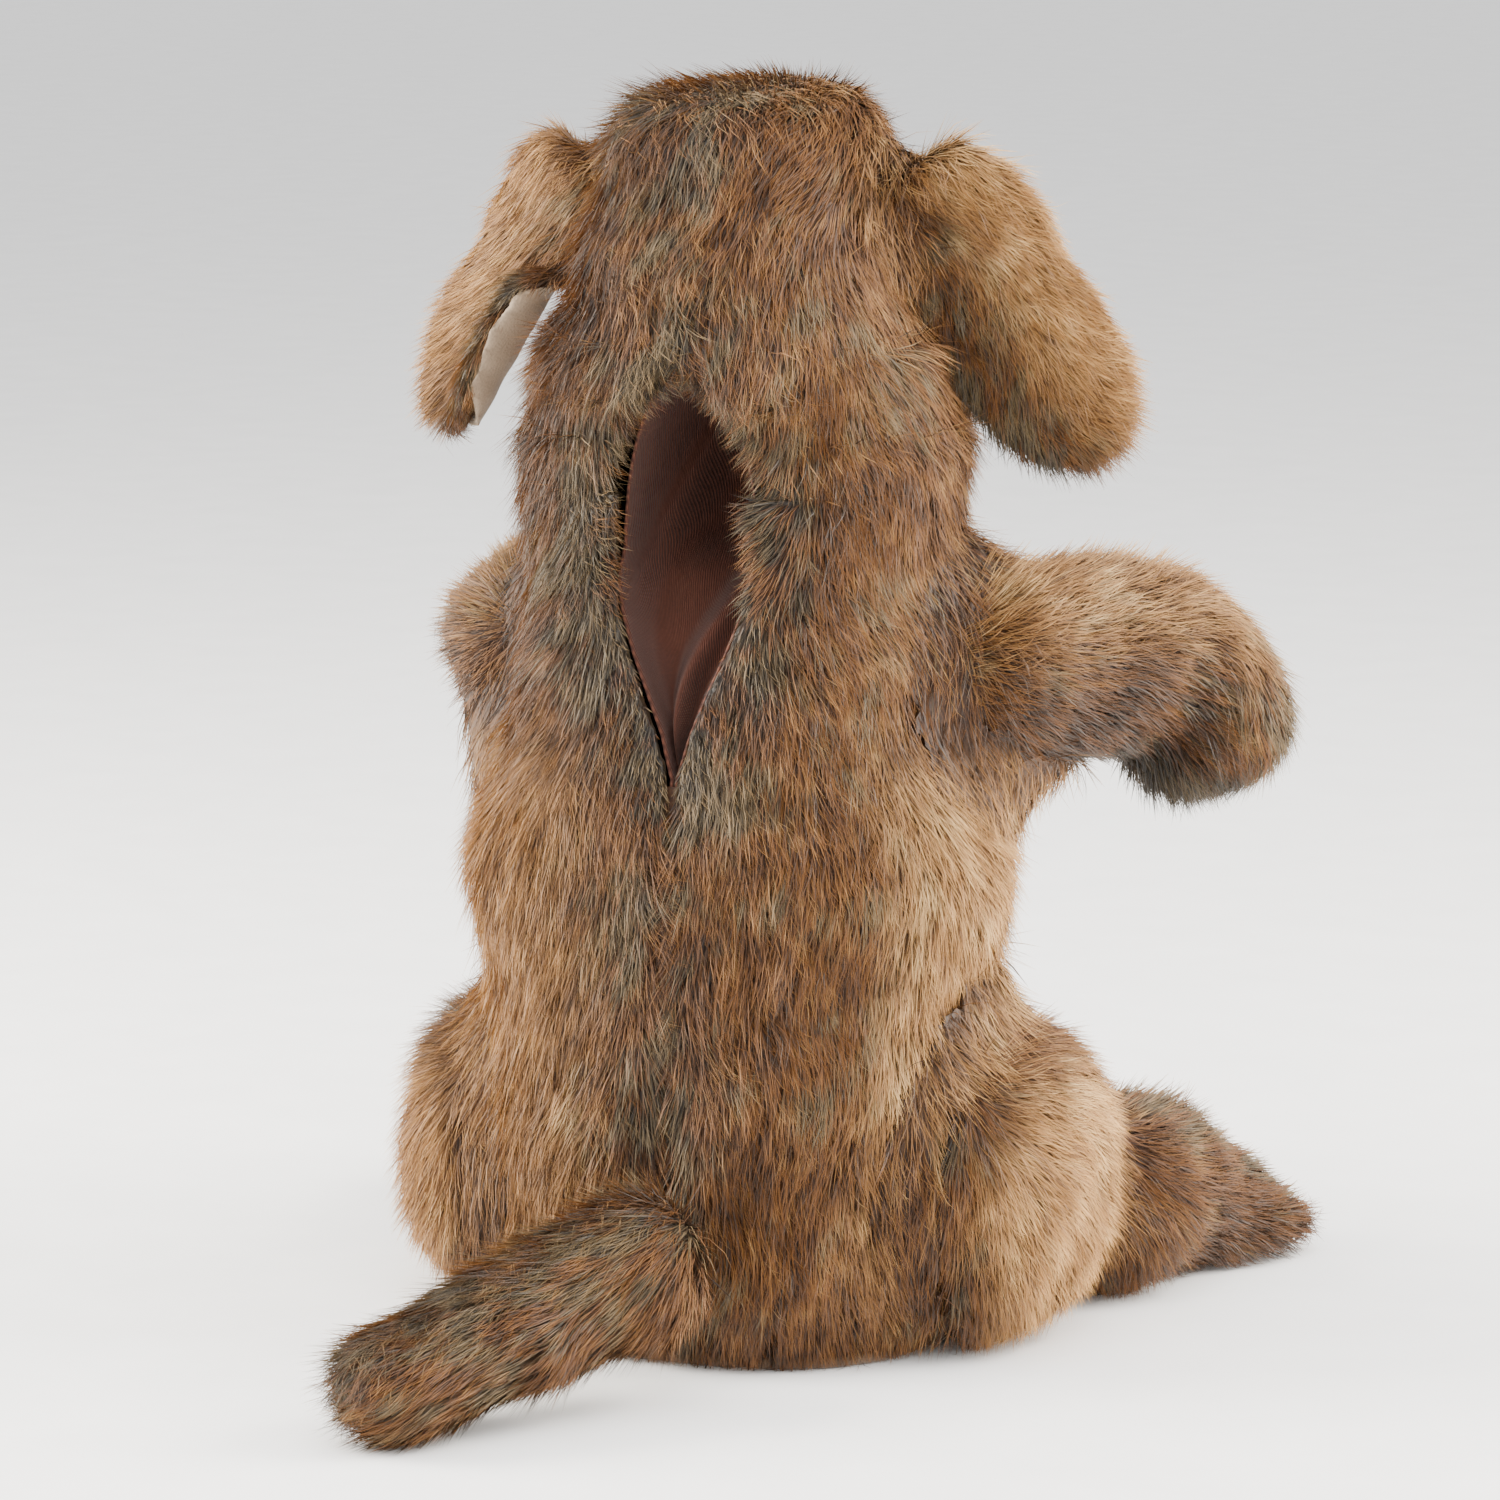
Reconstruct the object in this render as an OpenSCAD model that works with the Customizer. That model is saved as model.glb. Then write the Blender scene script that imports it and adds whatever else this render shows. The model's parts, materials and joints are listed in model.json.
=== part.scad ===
// A plush dog hand puppet that sits upright. A hand goes in by the slit in its back, into the head
// and the two arms. The dog faces -Y, +Z is up, and the origin is at the middle of its flat seat.
// Every fur panel is as thick as its cloth and its flattened pile together.

/* [Body] */
// Width of the flat seat
seat_width = 116; // [100:1:120]
// Depth of the flat seat
seat_depth = 96; // [80:1:104]
// Width of the body between the thighs
hip_width = 128; // [112:1:140]
// Depth of the body between the thighs
hip_depth = 114; // [100:1:124]
// Width of the body at the waist, its widest place
waist_width = 142; // [118:1:160]
// Depth of the body at the waist
waist_depth = 112; // [98:1:124]
// Width of the body at the shoulders
shoulder_width = 110; // [100:1:128]
// Depth of the body at the shoulders
shoulder_depth = 102; // [88:1:112]
// Width of the open top of the body
collar_width = 100; // [88:1:110]
// Depth of the open top of the body
collar_depth = 92; // [84:1:104]
// Height of the widest place of the thighs
hip_height = 32; // [26:1:40]
// Height of the waist
waist_height = 124; // [110:1:136]
// Height of the shoulder joints
shoulder_height = 177; // [160:1:186]
// Height of the open top of the body
collar_height = 229; // [220:1:275]
// Thickness of the fur cloth with its pile pressed down
fur_wall = 5; // [3:0.5:6]
// Thickness of the stiff cloth under the seat
base_wall = 4; // [3:0.5:6]

/* [Back slit] */
// Widest part of the slit
slit_width = 36; // [24:1:44]
// Height of the bottom end of the slit
slit_bottom = 150; // [140:1:170]
// Height of the widest part of the slit
slit_middle = 212; // [190:1:220]

/* [Lining and filling] */
// Thickness of the ribbed lining
lining_wall = 1.2; // [0.8:0.1:2]
// Room between the fur cloth and what lies behind it
cloth_gap = 0.4; // [0.3:0.05:0.6]
// Room between the fur cloth and the lining
lining_gap = 0.9; // [0.6:0.05:1.2]
// Height of the top of the seat filling
filling_top = 134; // [120:1:140]

/* [Neck] */
// Outer radius of the ball-shaped neck
neck_radius = 43; // [36:0.5:43.5]
// Height of the centre that the head nods about, above the collar
neck_rise = 21; // [18:1:26]
// Height of the neck above that centre
neck_top = 6; // [4:1:9]

/* [Head] */
// Width of the head at its open bottom
jowl_width = 98; // [96:1:112]
// Depth of the head at its open bottom
jowl_depth = 100; // [98:1:112]
// Width of the head between the ears
head_width = 77; // [72:1:90]
// Depth of the head between the ears
head_depth = 94; // [88:1:113]
// Width of the flat part of the crown
crown_width = 64; // [50:1:70]
// Depth of the flat part of the crown
crown_depth = 74; // [60:1:84]
// Height of the head above its open bottom
head_height = 77; // [72:1:94]
// How far the top of the head sits in front of the neck
head_forward = 8; // [0:1:8]
// Radius of the finger pocket in the head
finger_pocket = 19; // [14:1:21]

/* [Muzzle and jaw] */
// Length of the muzzle in front of the head
muzzle_length = 46; // [40:1:58]
// Width of the muzzle
muzzle_width = 54; // [46:1:58]
// Height of the muzzle above the mouth
muzzle_height = 34; // [28:1:38]
// Depth of the jaw below the mouth
jaw_depth = 15; // [12:1:18]
// Width of the jaw
jaw_width = 44; // [36:1:48]
// Distance from the front of the head to the jaw's hinge
jaw_setback = 8; // [7:1:14]
// Radius of the ball eyes
eye_radius = 6.5; // [5:0.5:8]
// Distance between the eyes
eye_spacing = 42; // [34:1:46]
// Width of the nose
nose_width = 24; // [18:1:28]

/* [Ears] */
// Length of an ear
ear_length = 88; // [74:1:100]
// Width of an ear
ear_width = 40; // [34:1:46]
// Thickness of the ear's fur side
ear_thickness = 6; // [4:0.5:8]
// Thickness of the ear's velour lining
ear_lining_thickness = 2; // [1.5:0.5:3]

/* [Arms] */
// Radius of the ball-shaped shoulder
shoulder_radius = 27; // [22:0.5:28]
// Distance from the body's side to the centre of the shoulder
shoulder_standoff = 8; // [6:0.5:10]
// Distance from the shoulder's centre to the wrist
arm_length = 45; // [38:1:60]
// Radius of the arm at the wrist
wrist_radius = 25; // [20:0.5:27]
// Angle of the right arm outward from straight ahead
right_arm_angle = 36; // [20:1:44]
// Angle of the left arm outward from straight ahead
left_arm_angle = 8; // [6:1:40]
// Length of the folded paw past the wrist
paw_length = 19; // [15:1:30]

/* [Legs and tail] */
// Height of the axis that a leg lifts about
hip_axis_height = 38; // [34:1:46]
// Distance that the thigh stands out from the body's side
thigh_width = 29; // [22:1:34]
// Length of the thigh in front of the hip axis
thigh_reach = 62; // [52:1:72]
// Height of the thigh above the hip axis
thigh_height = 46; // [38:1:52]
// Length of the foot in front of the thigh
foot_length = 62; // [52:1:76]
// Width of the foot
foot_width = 44; // [36:1:48]
// Height of the foot at its toes
toe_height = 20; // [18:1:26]
// Angle of the foot outward from straight ahead
foot_angle = 27; // [16:1:32]
// Radius of the tail at its root
tail_root_radius = 18; // [15:0.5:22]
// Radius of the tail at its tip
tail_tip_radius = 15; // [12:0.5:17]
// Distance between the centres of the tail's two ends
tail_length = 68; // [56:1:82]
// Angle of the tail, to the dog's left of straight back
tail_angle = 38; // [10:1:50]

/* [Hidden] */
$fn = 48;

fur = "#8a5a2e";
dark_fur = "#5c4630";
lining = "#5a2b1e";
velour = "#c9a887";
filling = "#f1ece2";
black = "#161412";

body_power = 2.3;               // how square the body's outline is: 2 is an ellipse
head_power = 2.5;
side_seam = -19;                // degrees forward of straight sideways
joint_gap = 0.6;                // room between pieces that move past each other
edge_lift = 0.3;                // room between two panels that meet at a seam
seam_angle = 0.25;              // half of that room, as an angle round the body
slit_top = collar_height + neck_rise + neck_top + 4;
neck_centre = [0, -2, collar_height + neck_rise];
head_bottom = neck_centre.z + 2;
head_top = head_bottom + head_height;
brow_height = head_bottom + 34;
crown_height = head_top - 9;
shoulder_x = shoulder_width / 2 + shoulder_standoff;
shoulder_y = -22;
armhole_ease = 5;               // room between the armhole's edge and the shoulder
armhole = sqrt(pow(shoulder_radius, 2) - pow(shoulder_standoff - fur_wall, 2)) + armhole_ease;
mouth_height = head_bottom + 15;
muzzle_bottom = mouth_height + 2;
front_of_head = neck_centre.y - head_depth / 2 - head_forward;
jaw_hinge = [0, front_of_head - jaw_setback, mouth_height];
muzzle_tip = front_of_head - muzzle_length;
eye_height = muzzle_bottom + muzzle_height + 4;
ear_root = [head_width / 2 + 4, -8 - head_forward / 2, head_top - 20];
ear_lean = [0.547, -0.134, -0.826];
ear_across = [0.769, -0.311, 0.560];
leg_plane = max(hip_width, seat_width) / 2 + joint_gap;
hip_axis = [leg_plane, 6, hip_axis_height];
ankle_y = hip_axis.y - thigh_reach;
tail_root = [0, hip_depth / 2 + tail_root_radius + 3, tail_root_radius + 17];
tail_tip = [tail_root.x + tail_length * sin(tail_angle), tail_root.y + tail_length * cos(tail_angle),
    tail_tip_radius + 1];

// ---- helpers: numbers -------------------------------------------------------------------------
function mix(a, b, t) = a + (b - a) * t;
function soft(t) = t * t * (3 - 2 * t);
// Falls from 1 to 0 along a quarter circle as t goes from 0 to 1
function fade(t, power = 1) = pow(max(0, cos(90 * min(1, t))), power);
// Where a filling's surface is along its cover: its first tenth is the flat start
function past_start(v) = max(0, (v - 0.1) / 0.9);
// A smooth value between the rows of a table of [place, value]
function smooth_rows(rows, x, k = 0) =
    x <= rows[0][0] ? rows[0][1] :
    k >= len(rows) - 1 ? rows[len(rows) - 1][1] :
    x > rows[k + 1][0] ? smooth_rows(rows, x, k + 1) :
    mix(rows[k][1], rows[k + 1][1], soft((x - rows[k][0]) / (rows[k + 1][0] - rows[k][0])));
// A point on a squarish oval
function oval(a, b, angle, power) =
    [sign(cos(angle)) * a * pow(abs(cos(angle)), 2 / power),
     sign(sin(angle)) * b * pow(abs(sin(angle)), 2 / power)];

// ---- helpers: solids --------------------------------------------------------------------------
// A curved sheet with thickness: outer(u, v) and inner(u, v) give its two faces
module sheet_solid(outer, inner, nu, nv) {
    n = (nu + 1) * (nv + 1);
    function o(i, j) = j * (nu + 1) + i;
    function k(i, j) = n + o(i, j);
    points = [for (j = [0:nv]) for (i = [0:nu]) outer(i / nu, j / nv),
        for (j = [0:nv]) for (i = [0:nu]) inner(i / nu, j / nv)];
    faces = [
        for (j = [0:nv - 1]) for (i = [0:nu - 1]) each [
            [o(i, j), o(i + 1, j + 1), o(i + 1, j)], [o(i, j), o(i, j + 1), o(i + 1, j + 1)],
            [k(i, j), k(i + 1, j), k(i + 1, j + 1)], [k(i, j), k(i + 1, j + 1), k(i, j + 1)]],
        for (j = [0:nv - 1]) each [
            [o(0, j), k(0, j + 1), o(0, j + 1)], [o(0, j), k(0, j), k(0, j + 1)],
            [o(nu, j + 1), k(nu, j), o(nu, j)], [o(nu, j + 1), k(nu, j + 1), k(nu, j)]],
        for (i = [0:nu - 1]) each [
            [o(i + 1, 0), k(i, 0), o(i, 0)], [o(i + 1, 0), k(i + 1, 0), k(i, 0)],
            [o(i, nv), k(i + 1, nv), o(i + 1, nv)], [o(i, nv), k(i, nv), k(i + 1, nv)]]];
    polyhedron(points, faces);
}
// A bag that is open at v = 0 and closed at v = 1
module cup(outer, inner, nu, nv) {
    n = nu * nv;
    function o(i, j) = j * nu + (i % nu);
    function k(i, j) = n + o(i, j);
    points = [for (j = [0:nv - 1]) for (i = [0:nu - 1]) outer(i / nu, j / nv),
        for (j = [0:nv - 1]) for (i = [0:nu - 1]) inner(i / nu, j / nv), outer(0, 1), inner(0, 1)];
    faces = [
        for (j = [0:nv - 2]) for (i = [0:nu - 1]) each [
            [o(i, j), o(i + 1, j + 1), o(i + 1, j)], [o(i, j), o(i, j + 1), o(i + 1, j + 1)],
            [k(i, j), k(i + 1, j), k(i + 1, j + 1)], [k(i, j), k(i + 1, j + 1), k(i, j + 1)]],
        for (i = [0:nu - 1]) each [
            [o(i, nv - 1), 2 * n, o(i + 1, nv - 1)], [k(i, nv - 1), k(i + 1, nv - 1), 2 * n + 1],
            [o(i + 1, 0), k(i, 0), o(i, 0)], [o(i + 1, 0), k(i + 1, 0), k(i, 0)]]];
    polyhedron(points, faces);
}
// A closed lump: ring(u, v) runs from a point at v = 0 to a point at v = 1
module lump(ring, nu, nv) {
    n = nu * (nv - 1);
    function o(i, j) = (j - 1) * nu + (i % nu);
    points = [for (j = [1:nv - 1]) for (i = [0:nu - 1]) ring(i / nu, j / nv), ring(0, 0), ring(0, 1)];
    faces = [
        for (j = [1:nv - 2]) for (i = [0:nu - 1]) each [
            [o(i, j), o(i + 1, j + 1), o(i + 1, j)], [o(i, j), o(i, j + 1), o(i + 1, j + 1)]],
        for (i = [0:nu - 1]) each [
            [o(i, 1), o(i + 1, 1), n], [o(i, nv - 1), n + 1, o(i + 1, nv - 1)]]];
    polyhedron(points, faces);
}
module left_and_right(side) {
    if (side > 0) children(); else mirror([1, 0, 0]) children();
}

// ---- body -------------------------------------------------------------------------------------
body_widths = [[0, seat_width / 2], [hip_height, hip_width / 2], [hip_height + 56, hip_width / 2],
    [waist_height, waist_width / 2], [shoulder_height, shoulder_width / 2],
    [collar_height, collar_width / 2]];
body_depths = [[0, seat_depth / 2], [hip_height, hip_depth / 2], [waist_height, waist_depth / 2],
    [shoulder_height, shoulder_depth / 2], [collar_height, collar_depth / 2]];
function body_point(angle, z, inset = 0) =
    let (p = oval(smooth_rows(body_widths, z) - inset, smooth_rows(body_depths, z) - inset,
        angle, body_power)) [p.x, p.y, z];
// Half the slit's width at a height
function slit_half(z) =
    z <= slit_bottom || z >= slit_top ? 0 :
    z < slit_middle ? slit_width / 2 * soft((z - slit_bottom) / (slit_middle - slit_bottom)) :
    slit_width / 2 * sqrt(1 - pow((z - slit_middle) / (slit_top - slit_middle), 2));
// The angle on an oval of half width a at which x is reached, measured from the side
function angle_at(x, a, power) = acos(pow(min(1, max(0, x / a)), power / 2));
// How far the armhole reaches along the side at a height, as an angle
function armhole_angle(z) =
    let (d = z - shoulder_height)
    abs(d) >= armhole ? 0 : sqrt(pow(armhole, 2) - pow(d, 2)) * 720 / PI / (shoulder_width + shoulder_depth);
function spine_angle(z, inset) =
    angle_at(max(edge_lift / 2, slit_half(z)), smooth_rows(body_widths, z) - inset, body_power);
body_rows = 22;
function body_z(v) = mix(base_wall + edge_lift, collar_height, v);

module back_panel(side) {
    color(fur) left_and_right(side)
    sheet_solid(
        function(u, v) let (z = body_z(v))
            body_point(mix(side_seam + armhole_angle(z) + seam_angle, spine_angle(z, 0), u), z),
        function(u, v) let (z = body_z(v))
            body_point(mix(side_seam + armhole_angle(z) + seam_angle, spine_angle(z, fur_wall), u), z,
                fur_wall),
        12, body_rows);
}
module belly_panel(side) {
    color(fur) left_and_right(side)
    sheet_solid(
        function(u, v) let (z = body_z(v))
            body_point(mix(-90 + seam_angle, side_seam - armhole_angle(z) - seam_angle, u), z),
        function(u, v) let (z = body_z(v))
            body_point(mix(-90 + seam_angle, side_seam - armhole_angle(z) - seam_angle, u), z, fur_wall),
        10, body_rows);
}
module base_panel() {
    color(dark_fur) linear_extrude(base_wall)
        polygon([for (t = [0:10:350]) oval(seat_width / 2, seat_depth / 2, t, body_power)]);
}
module seat_filling() {
    inset = fur_wall + cloth_gap;
    bottom = base_wall + cloth_gap;
    color(filling) lump(function(u, v)
        let (rise = min(1, max(0, (v - 0.1) / 0.8)), size = v < 0.05 || v > 0.95 ? 0.001 : 1,
            p = body_point(u * 360, mix(bottom, filling_top, rise), inset + 10 * pow(rise, 6)))
        [p.x * size, p.y * size, p.z], 28, 12);
}
// The two back pieces of the lining reach from the slit's edge to the side seam
lining_bottom = filling_top + cloth_gap;
module lining_back(side) {
    inset = fur_wall + lining_gap;
    color(lining) left_and_right(side)
    sheet_solid(
        function(u, v) let (z = mix(lining_bottom, collar_height, v))
            body_point(mix(side_seam + armhole_angle(z) + seam_angle, spine_angle(z, inset), u), z, inset),
        function(u, v) let (z = mix(lining_bottom, collar_height, v), deep = inset + lining_wall)
            body_point(mix(side_seam + armhole_angle(z) + seam_angle, spine_angle(z, deep), u), z, deep),
        10, 14);
}
module lining_front() {
    inset = fur_wall + lining_gap;
    color(lining) sheet_solid(
        function(u, v) let (z = mix(lining_bottom, collar_height, v),
                reach = 90 + side_seam - armhole_angle(z) - seam_angle)
            body_point(-90 + mix(-reach, reach, u), z, inset),
        function(u, v) let (z = mix(lining_bottom, collar_height, v),
                reach = 90 + side_seam - armhole_angle(z) - seam_angle)
            body_point(-90 + mix(-reach, reach, u), z, inset + lining_wall),
        16, 14);
}

// ---- neck -------------------------------------------------------------------------------------
// A ring cut from a ball about neck_centre, open at the back along the slit
function neck_point(u, v, radius) =
    let (z = mix(collar_height + joint_gap, neck_centre.z + neck_top, v),
        r = sqrt(pow(radius, 2) - pow(z - neck_centre.z, 2)),
        gap = asin(slit_half(z) / r), angle = mix(90 + gap, 450 - gap, u))
    [neck_centre.x + r * cos(angle), neck_centre.y + r * sin(angle), z];
module neck_cover() {
    color(fur) sheet_solid(
        function(u, v) neck_point(u, v, neck_radius),
        function(u, v) neck_point(u, v, neck_radius - fur_wall), 36, 6);
}

// ---- head -------------------------------------------------------------------------------------
head_widths = [[head_bottom, jowl_width / 2], [brow_height, head_width / 2],
    [crown_height, crown_width / 2]];
head_depths = [[head_bottom, jowl_depth / 2], [brow_height, head_depth / 2],
    [crown_height, crown_depth / 2]];
head_centres = [[head_bottom, neck_centre.y], [brow_height, neck_centre.y - head_forward]];
crown_share = 0.72;             // share of the rows below the crown's edge
function head_point(u, v, inset) =
    let (t = max(0, (v - crown_share) / (1 - crown_share)),
        z = mix(head_bottom, crown_height, min(1, v / crown_share)),
        size = fade(t, 0.8),
        p = oval(smooth_rows(head_widths, z) - inset, smooth_rows(head_depths, z) - inset,
            u * 360, head_power))
    [p.x * size, smooth_rows(head_centres, z) + p.y * size,
        z + (head_top - crown_height - inset) * sin(90 * t)];
// Where the head's front surface lies
function head_front(x, z) =
    smooth_rows(head_centres, z) - smooth_rows(head_depths, z)
        * pow(max(0, 1 - pow(abs(x) / smooth_rows(head_widths, z), head_power)), 1 / head_power);
module head_cover() {
    color(fur) cup(function(u, v) head_point(u, v, 0), function(u, v) head_point(u, v, fur_wall), 32, 14);
}
pocket_bottom = brow_height - 2;
pocket_top = head_top - fur_wall - 9;
pocket_wall_out = finger_pocket + lining_wall;
pocket_y = neck_centre.y - head_forward / 2;
module head_lining() {
    color(lining) translate([0, pocket_y, 0]) rotate_extrude() polygon([
        [finger_pocket, pocket_bottom], [pocket_wall_out, pocket_bottom],
        [pocket_wall_out, pocket_top - 6], [pocket_wall_out - 7, pocket_top], [0, pocket_top],
        [0, pocket_top - lining_wall], [finger_pocket - 7, pocket_top - lining_wall],
        [finger_pocket, pocket_top - 6 - lining_wall / 2]]);
}
module head_filling() {
    first = crown_share * (pocket_bottom - head_bottom) / (crown_height - head_bottom);
    hole = pocket_wall_out + cloth_gap;
    color(filling) cup(
        function(u, v) head_point(u, mix(first, 1, v), fur_wall + cloth_gap),
        function(u, v) let (t = min(1, v * 1.4), size = fade(max(0, (v - 0.7) / 0.3)))
            [hole * size * cos(u * 360), pocket_y + hole * size * sin(u * 360),
                mix(pocket_bottom, pocket_top + cloth_gap, t)],
        28, 10);
}

// ---- muzzle -----------------------------------------------------------------------------------
// The rear of the muzzle follows the head's front surface
rear_share = 0.2;               // share of the rows on that rear surface
nose_share = 0.7;               // share of the rows before the muzzle's rounded end
function muzzle_point(u, v, inset) =
    let (c = oval(1, 1, u * 360, 2.5), w = muzzle_width / 2 - inset, h = muzzle_height / 2 - inset,
        mid = muzzle_bottom + muzzle_height / 2,
        rear = min(1, v / rear_share), along = max(0, min(1, (v - rear_share) / (nose_share - rear_share))),
        round = max(0, (v - nose_share) / (1 - nose_share)),
        slim = mix(1, 0.86, along) * fade(round, 0.8),
        x0 = w * c.x * rear, z0 = mid + h * c.y * rear,
        y0 = head_front(x0, z0) - cloth_gap - inset,
        y1 = muzzle_tip + 14)
    [x0 * slim, mix(y0, y1, along) + (-14 + inset) * sin(90 * round), mid + (z0 - mid) * slim - 3 * along];
module muzzle_cover() {
    color(fur) cup(
        function(u, v) muzzle_point(u, mix(rear_share, 1, v), 0),
        function(u, v) let (p = muzzle_point(u, mix(rear_share, 1, v), fur_wall))
            v == 0 ? [p.x, p.y + fur_wall - 0.5, p.z] : p,
        28, 12);
}
module muzzle_filling() {
    color(filling) lump(function(u, v) muzzle_point(u, v, fur_wall + cloth_gap), 24, 14);
}
jaw_back = jaw_hinge.y - 2;     // rear end of the jaw
jaw_half = (jaw_back - muzzle_tip) / 2;
module mouth_shape(trim, thick) {
    translate([0, jaw_back - jaw_half, 0]) linear_extrude(thick)
        polygon([for (t = [0:12:348]) oval(jaw_width / 2 - trim, jaw_half - trim, t, 2.5)]);
}
plate_wall = 1.5;
module upper_mouth_plate() {
    color(lining) translate([0, 0, mouth_height]) mouth_shape(1, plate_wall);
}
module lower_mouth_plate() {
    color(lining) translate([0, 0, mouth_height - 4]) mouth_shape(0.5, plate_wall);
}
module tongue() {
    color("#b4505a") translate([0, 0, mouth_height - 4 + plate_wall + 0.1]) mouth_shape(8, plate_wall);
}
jaw_rim = mouth_height - 4 - 0.2;
function jaw_point(u, v, inset) =
    let (p = oval(jaw_width / 2 - inset, jaw_half - inset, -u * 360, 2.5), size = fade(v, 0.6))
    [p.x * size, jaw_back - jaw_half + p.y * size, jaw_rim - (jaw_depth - 4 - inset) * sin(90 * v)];
module jaw_cover() {
    color(fur) cup(function(u, v) jaw_point(u, v, 0), function(u, v) jaw_point(u, v, 3), 28, 8);
}
module jaw_filling() {
    color(filling) lump(function(u, v)
        let (p = jaw_point(u, max(0, v - 0.2) / 0.8, 3 + cloth_gap), size = v < 0.1 ? 0.001 : 1)
        [p.x * size, mix(jaw_back - jaw_half, p.y, size), p.z - 0.2],
        20, 10);
}
module nose() {
    middle = muzzle_bottom + muzzle_height * 0.62 - 3;
    color(black) lump(function(u, v)
        let (size = v < 0.05 ? 0.001 : fade(max(0, (v - 0.1) / 0.9), 0.6), c = oval(1, 1, u * 360, 2.2))
        [nose_width / 2 * c.x * size, muzzle_tip - 0.3 - 9 * max(0, (v - 0.1) / 0.9),
            middle + nose_width / 3 * c.y * size], 20, 10);
}
eye_place = [eye_spacing / 2, head_front(eye_spacing / 2, eye_height) - 1, eye_height];
shank_radius = 1.6;
shank_length = fur_wall + 18;    // through the cloth and well into the filling
washer_wall = 1.5;
module eye(side) {
    left_and_right(side) color(black) translate(eye_place) {
        sphere(r = eye_radius);
        rotate([-90, 0, 0]) cylinder(r = shank_radius, h = shank_length);
    }
}
module eye_washer(side) {
    left_and_right(side) color(filling) translate(eye_place + [0, shank_length - washer_wall - 1, 0])
        rotate([-90, 0, 0]) difference() {
            cylinder(r = eye_radius - 0.5, h = washer_wall);
            translate([0, 0, -1]) cylinder(r = shank_radius + 0.05, h = washer_wall + 2);
        }
}

// ---- ears -------------------------------------------------------------------------------------
ear_back = cross(ear_across, ear_lean);
ear_outline = [[0, 0.36], [0.15, 0.62], [0.35, 0.9], [0.6, 1], [0.8, 0.9], [0.93, 0.62], [1, 0.3]];
ear_cup = 5;                    // how far the ear's edges curl forward
function ear_point(u, v, depth, trim = 0) =
    let (across = (2 * u - 1) * (ear_width / 2 * lookup(v, ear_outline) - trim),
        curl = ear_cup * pow(across / (ear_width / 2), 2))
    ear_root + ear_lean * (v * (ear_length - trim)) + ear_across * across + ear_back * (depth - curl);
module ear_fur(side) {
    left_and_right(side) color(fur) sheet_solid(
        function(u, v) ear_point(u, v, ear_thickness), function(u, v) ear_point(u, v, 0), 10, 14);
}
module ear_lining(side) {
    left_and_right(side) color(velour) sheet_solid(
        function(u, v) ear_point(u, mix(0.05, 1, v), -0.2, 1.5),
        function(u, v) ear_point(u, mix(0.05, 1, v), -0.2 - ear_lining_thickness, 1.5), 10, 14);
}

// ---- arms -------------------------------------------------------------------------------------
// An arm is turned about its own axis: h is the distance from the shoulder's centre
module at_shoulder(side) {
    left_and_right(side) translate([shoulder_x, shoulder_y, shoulder_height])
        rotate([90, 0, side > 0 ? left_arm_angle : right_arm_angle]) children();
}
arm_mouth = shoulder_radius - 8;
mouth_angle = acos(arm_mouth / shoulder_radius);
function arc_points(radius, from, to, steps) =
    [for (i = [0:steps]) let (a = mix(from, to, i / steps)) [radius * cos(a), radius * sin(a)]];
module arm_sleeve(side) {
    inner = shoulder_radius - fur_wall;
    color(fur) at_shoulder(side) rotate_extrude() polygon(concat(
        arc_points(shoulder_radius, -mouth_angle, 3, 9), [[wrist_radius, arm_length]],
        [[wrist_radius - fur_wall, arm_length]], arc_points(inner, 3, -mouth_angle, 9)));
}
module arm_cuff(side) {
    outer = shoulder_radius - fur_wall - 0.5;
    color(lining) at_shoulder(side) rotate_extrude()
        polygon(concat(arc_points(outer, -28, 28, 8), arc_points(outer - lining_wall, 28, -28, 8)));
}
arm_lining_bottom = shoulder_radius - fur_wall + 0.5;
module arm_lining(side) {
    out = min(wrist_radius, shoulder_radius) - fur_wall - cloth_gap;    // clears the sleeve's narrower end
    top = arm_length - 2;
    color(lining) at_shoulder(side) rotate_extrude() polygon([
        [out - lining_wall, arm_lining_bottom], [out, arm_lining_bottom], [out, top - 8],
        [out - 8, top], [0, top], [0, top - lining_wall], [out - 8, top - lining_wall],
        [out - lining_wall, top - 8]]);
}
// The paw folds down from the wrist through paw_fold degrees
paw_fold = 80;
paw_flat = 0.9;                 // the paw's height as a share of its width
paw_bend = wrist_radius * paw_flat + 1; // radius of the bend, past the paw's own underside
function paw_point(u, v, inset, angle) =
    let (bend = min(1, v / 0.55), round = max(0, (v - 0.55) / 0.45), turn = paw_fold * bend,
        ahead = [sin(angle), -cos(angle), 0], side_way = [cos(angle), sin(angle), 0],
        tangent = ahead * cos(turn) - [0, 0, sin(turn)],
        up_way = ahead * sin(turn) + [0, 0, cos(turn)],
        start = [shoulder_x, shoulder_y, shoulder_height] + ahead * (arm_length + 0.3),
        middle = start + ahead * (paw_bend * sin(turn)) - [0, 0, paw_bend * (1 - cos(turn))],
        r = (wrist_radius + 1.5 * bend - inset) * fade(round, 0.7))
    middle + tangent * ((paw_length - inset) * sin(90 * round))
        + side_way * (r * cos(u * 360)) + up_way * (r * paw_flat * sin(u * 360));
module paw_cover(side) {
    angle = side > 0 ? left_arm_angle : right_arm_angle;
    left_and_right(side) color(fur) cup(function(u, v) paw_point(u, v, 0, angle),
        function(u, v) paw_point(u, v, fur_wall, angle), 24, 12);
}
module paw_filling(side) {
    angle = side > 0 ? left_arm_angle : right_arm_angle;
    left_and_right(side) color(filling) lump(function(u, v)
        v < 0.05 ? paw_point(0, 0, wrist_radius, angle) : paw_point(u, past_start(v),
            fur_wall + cloth_gap, angle), 20, 10);
}

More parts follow.
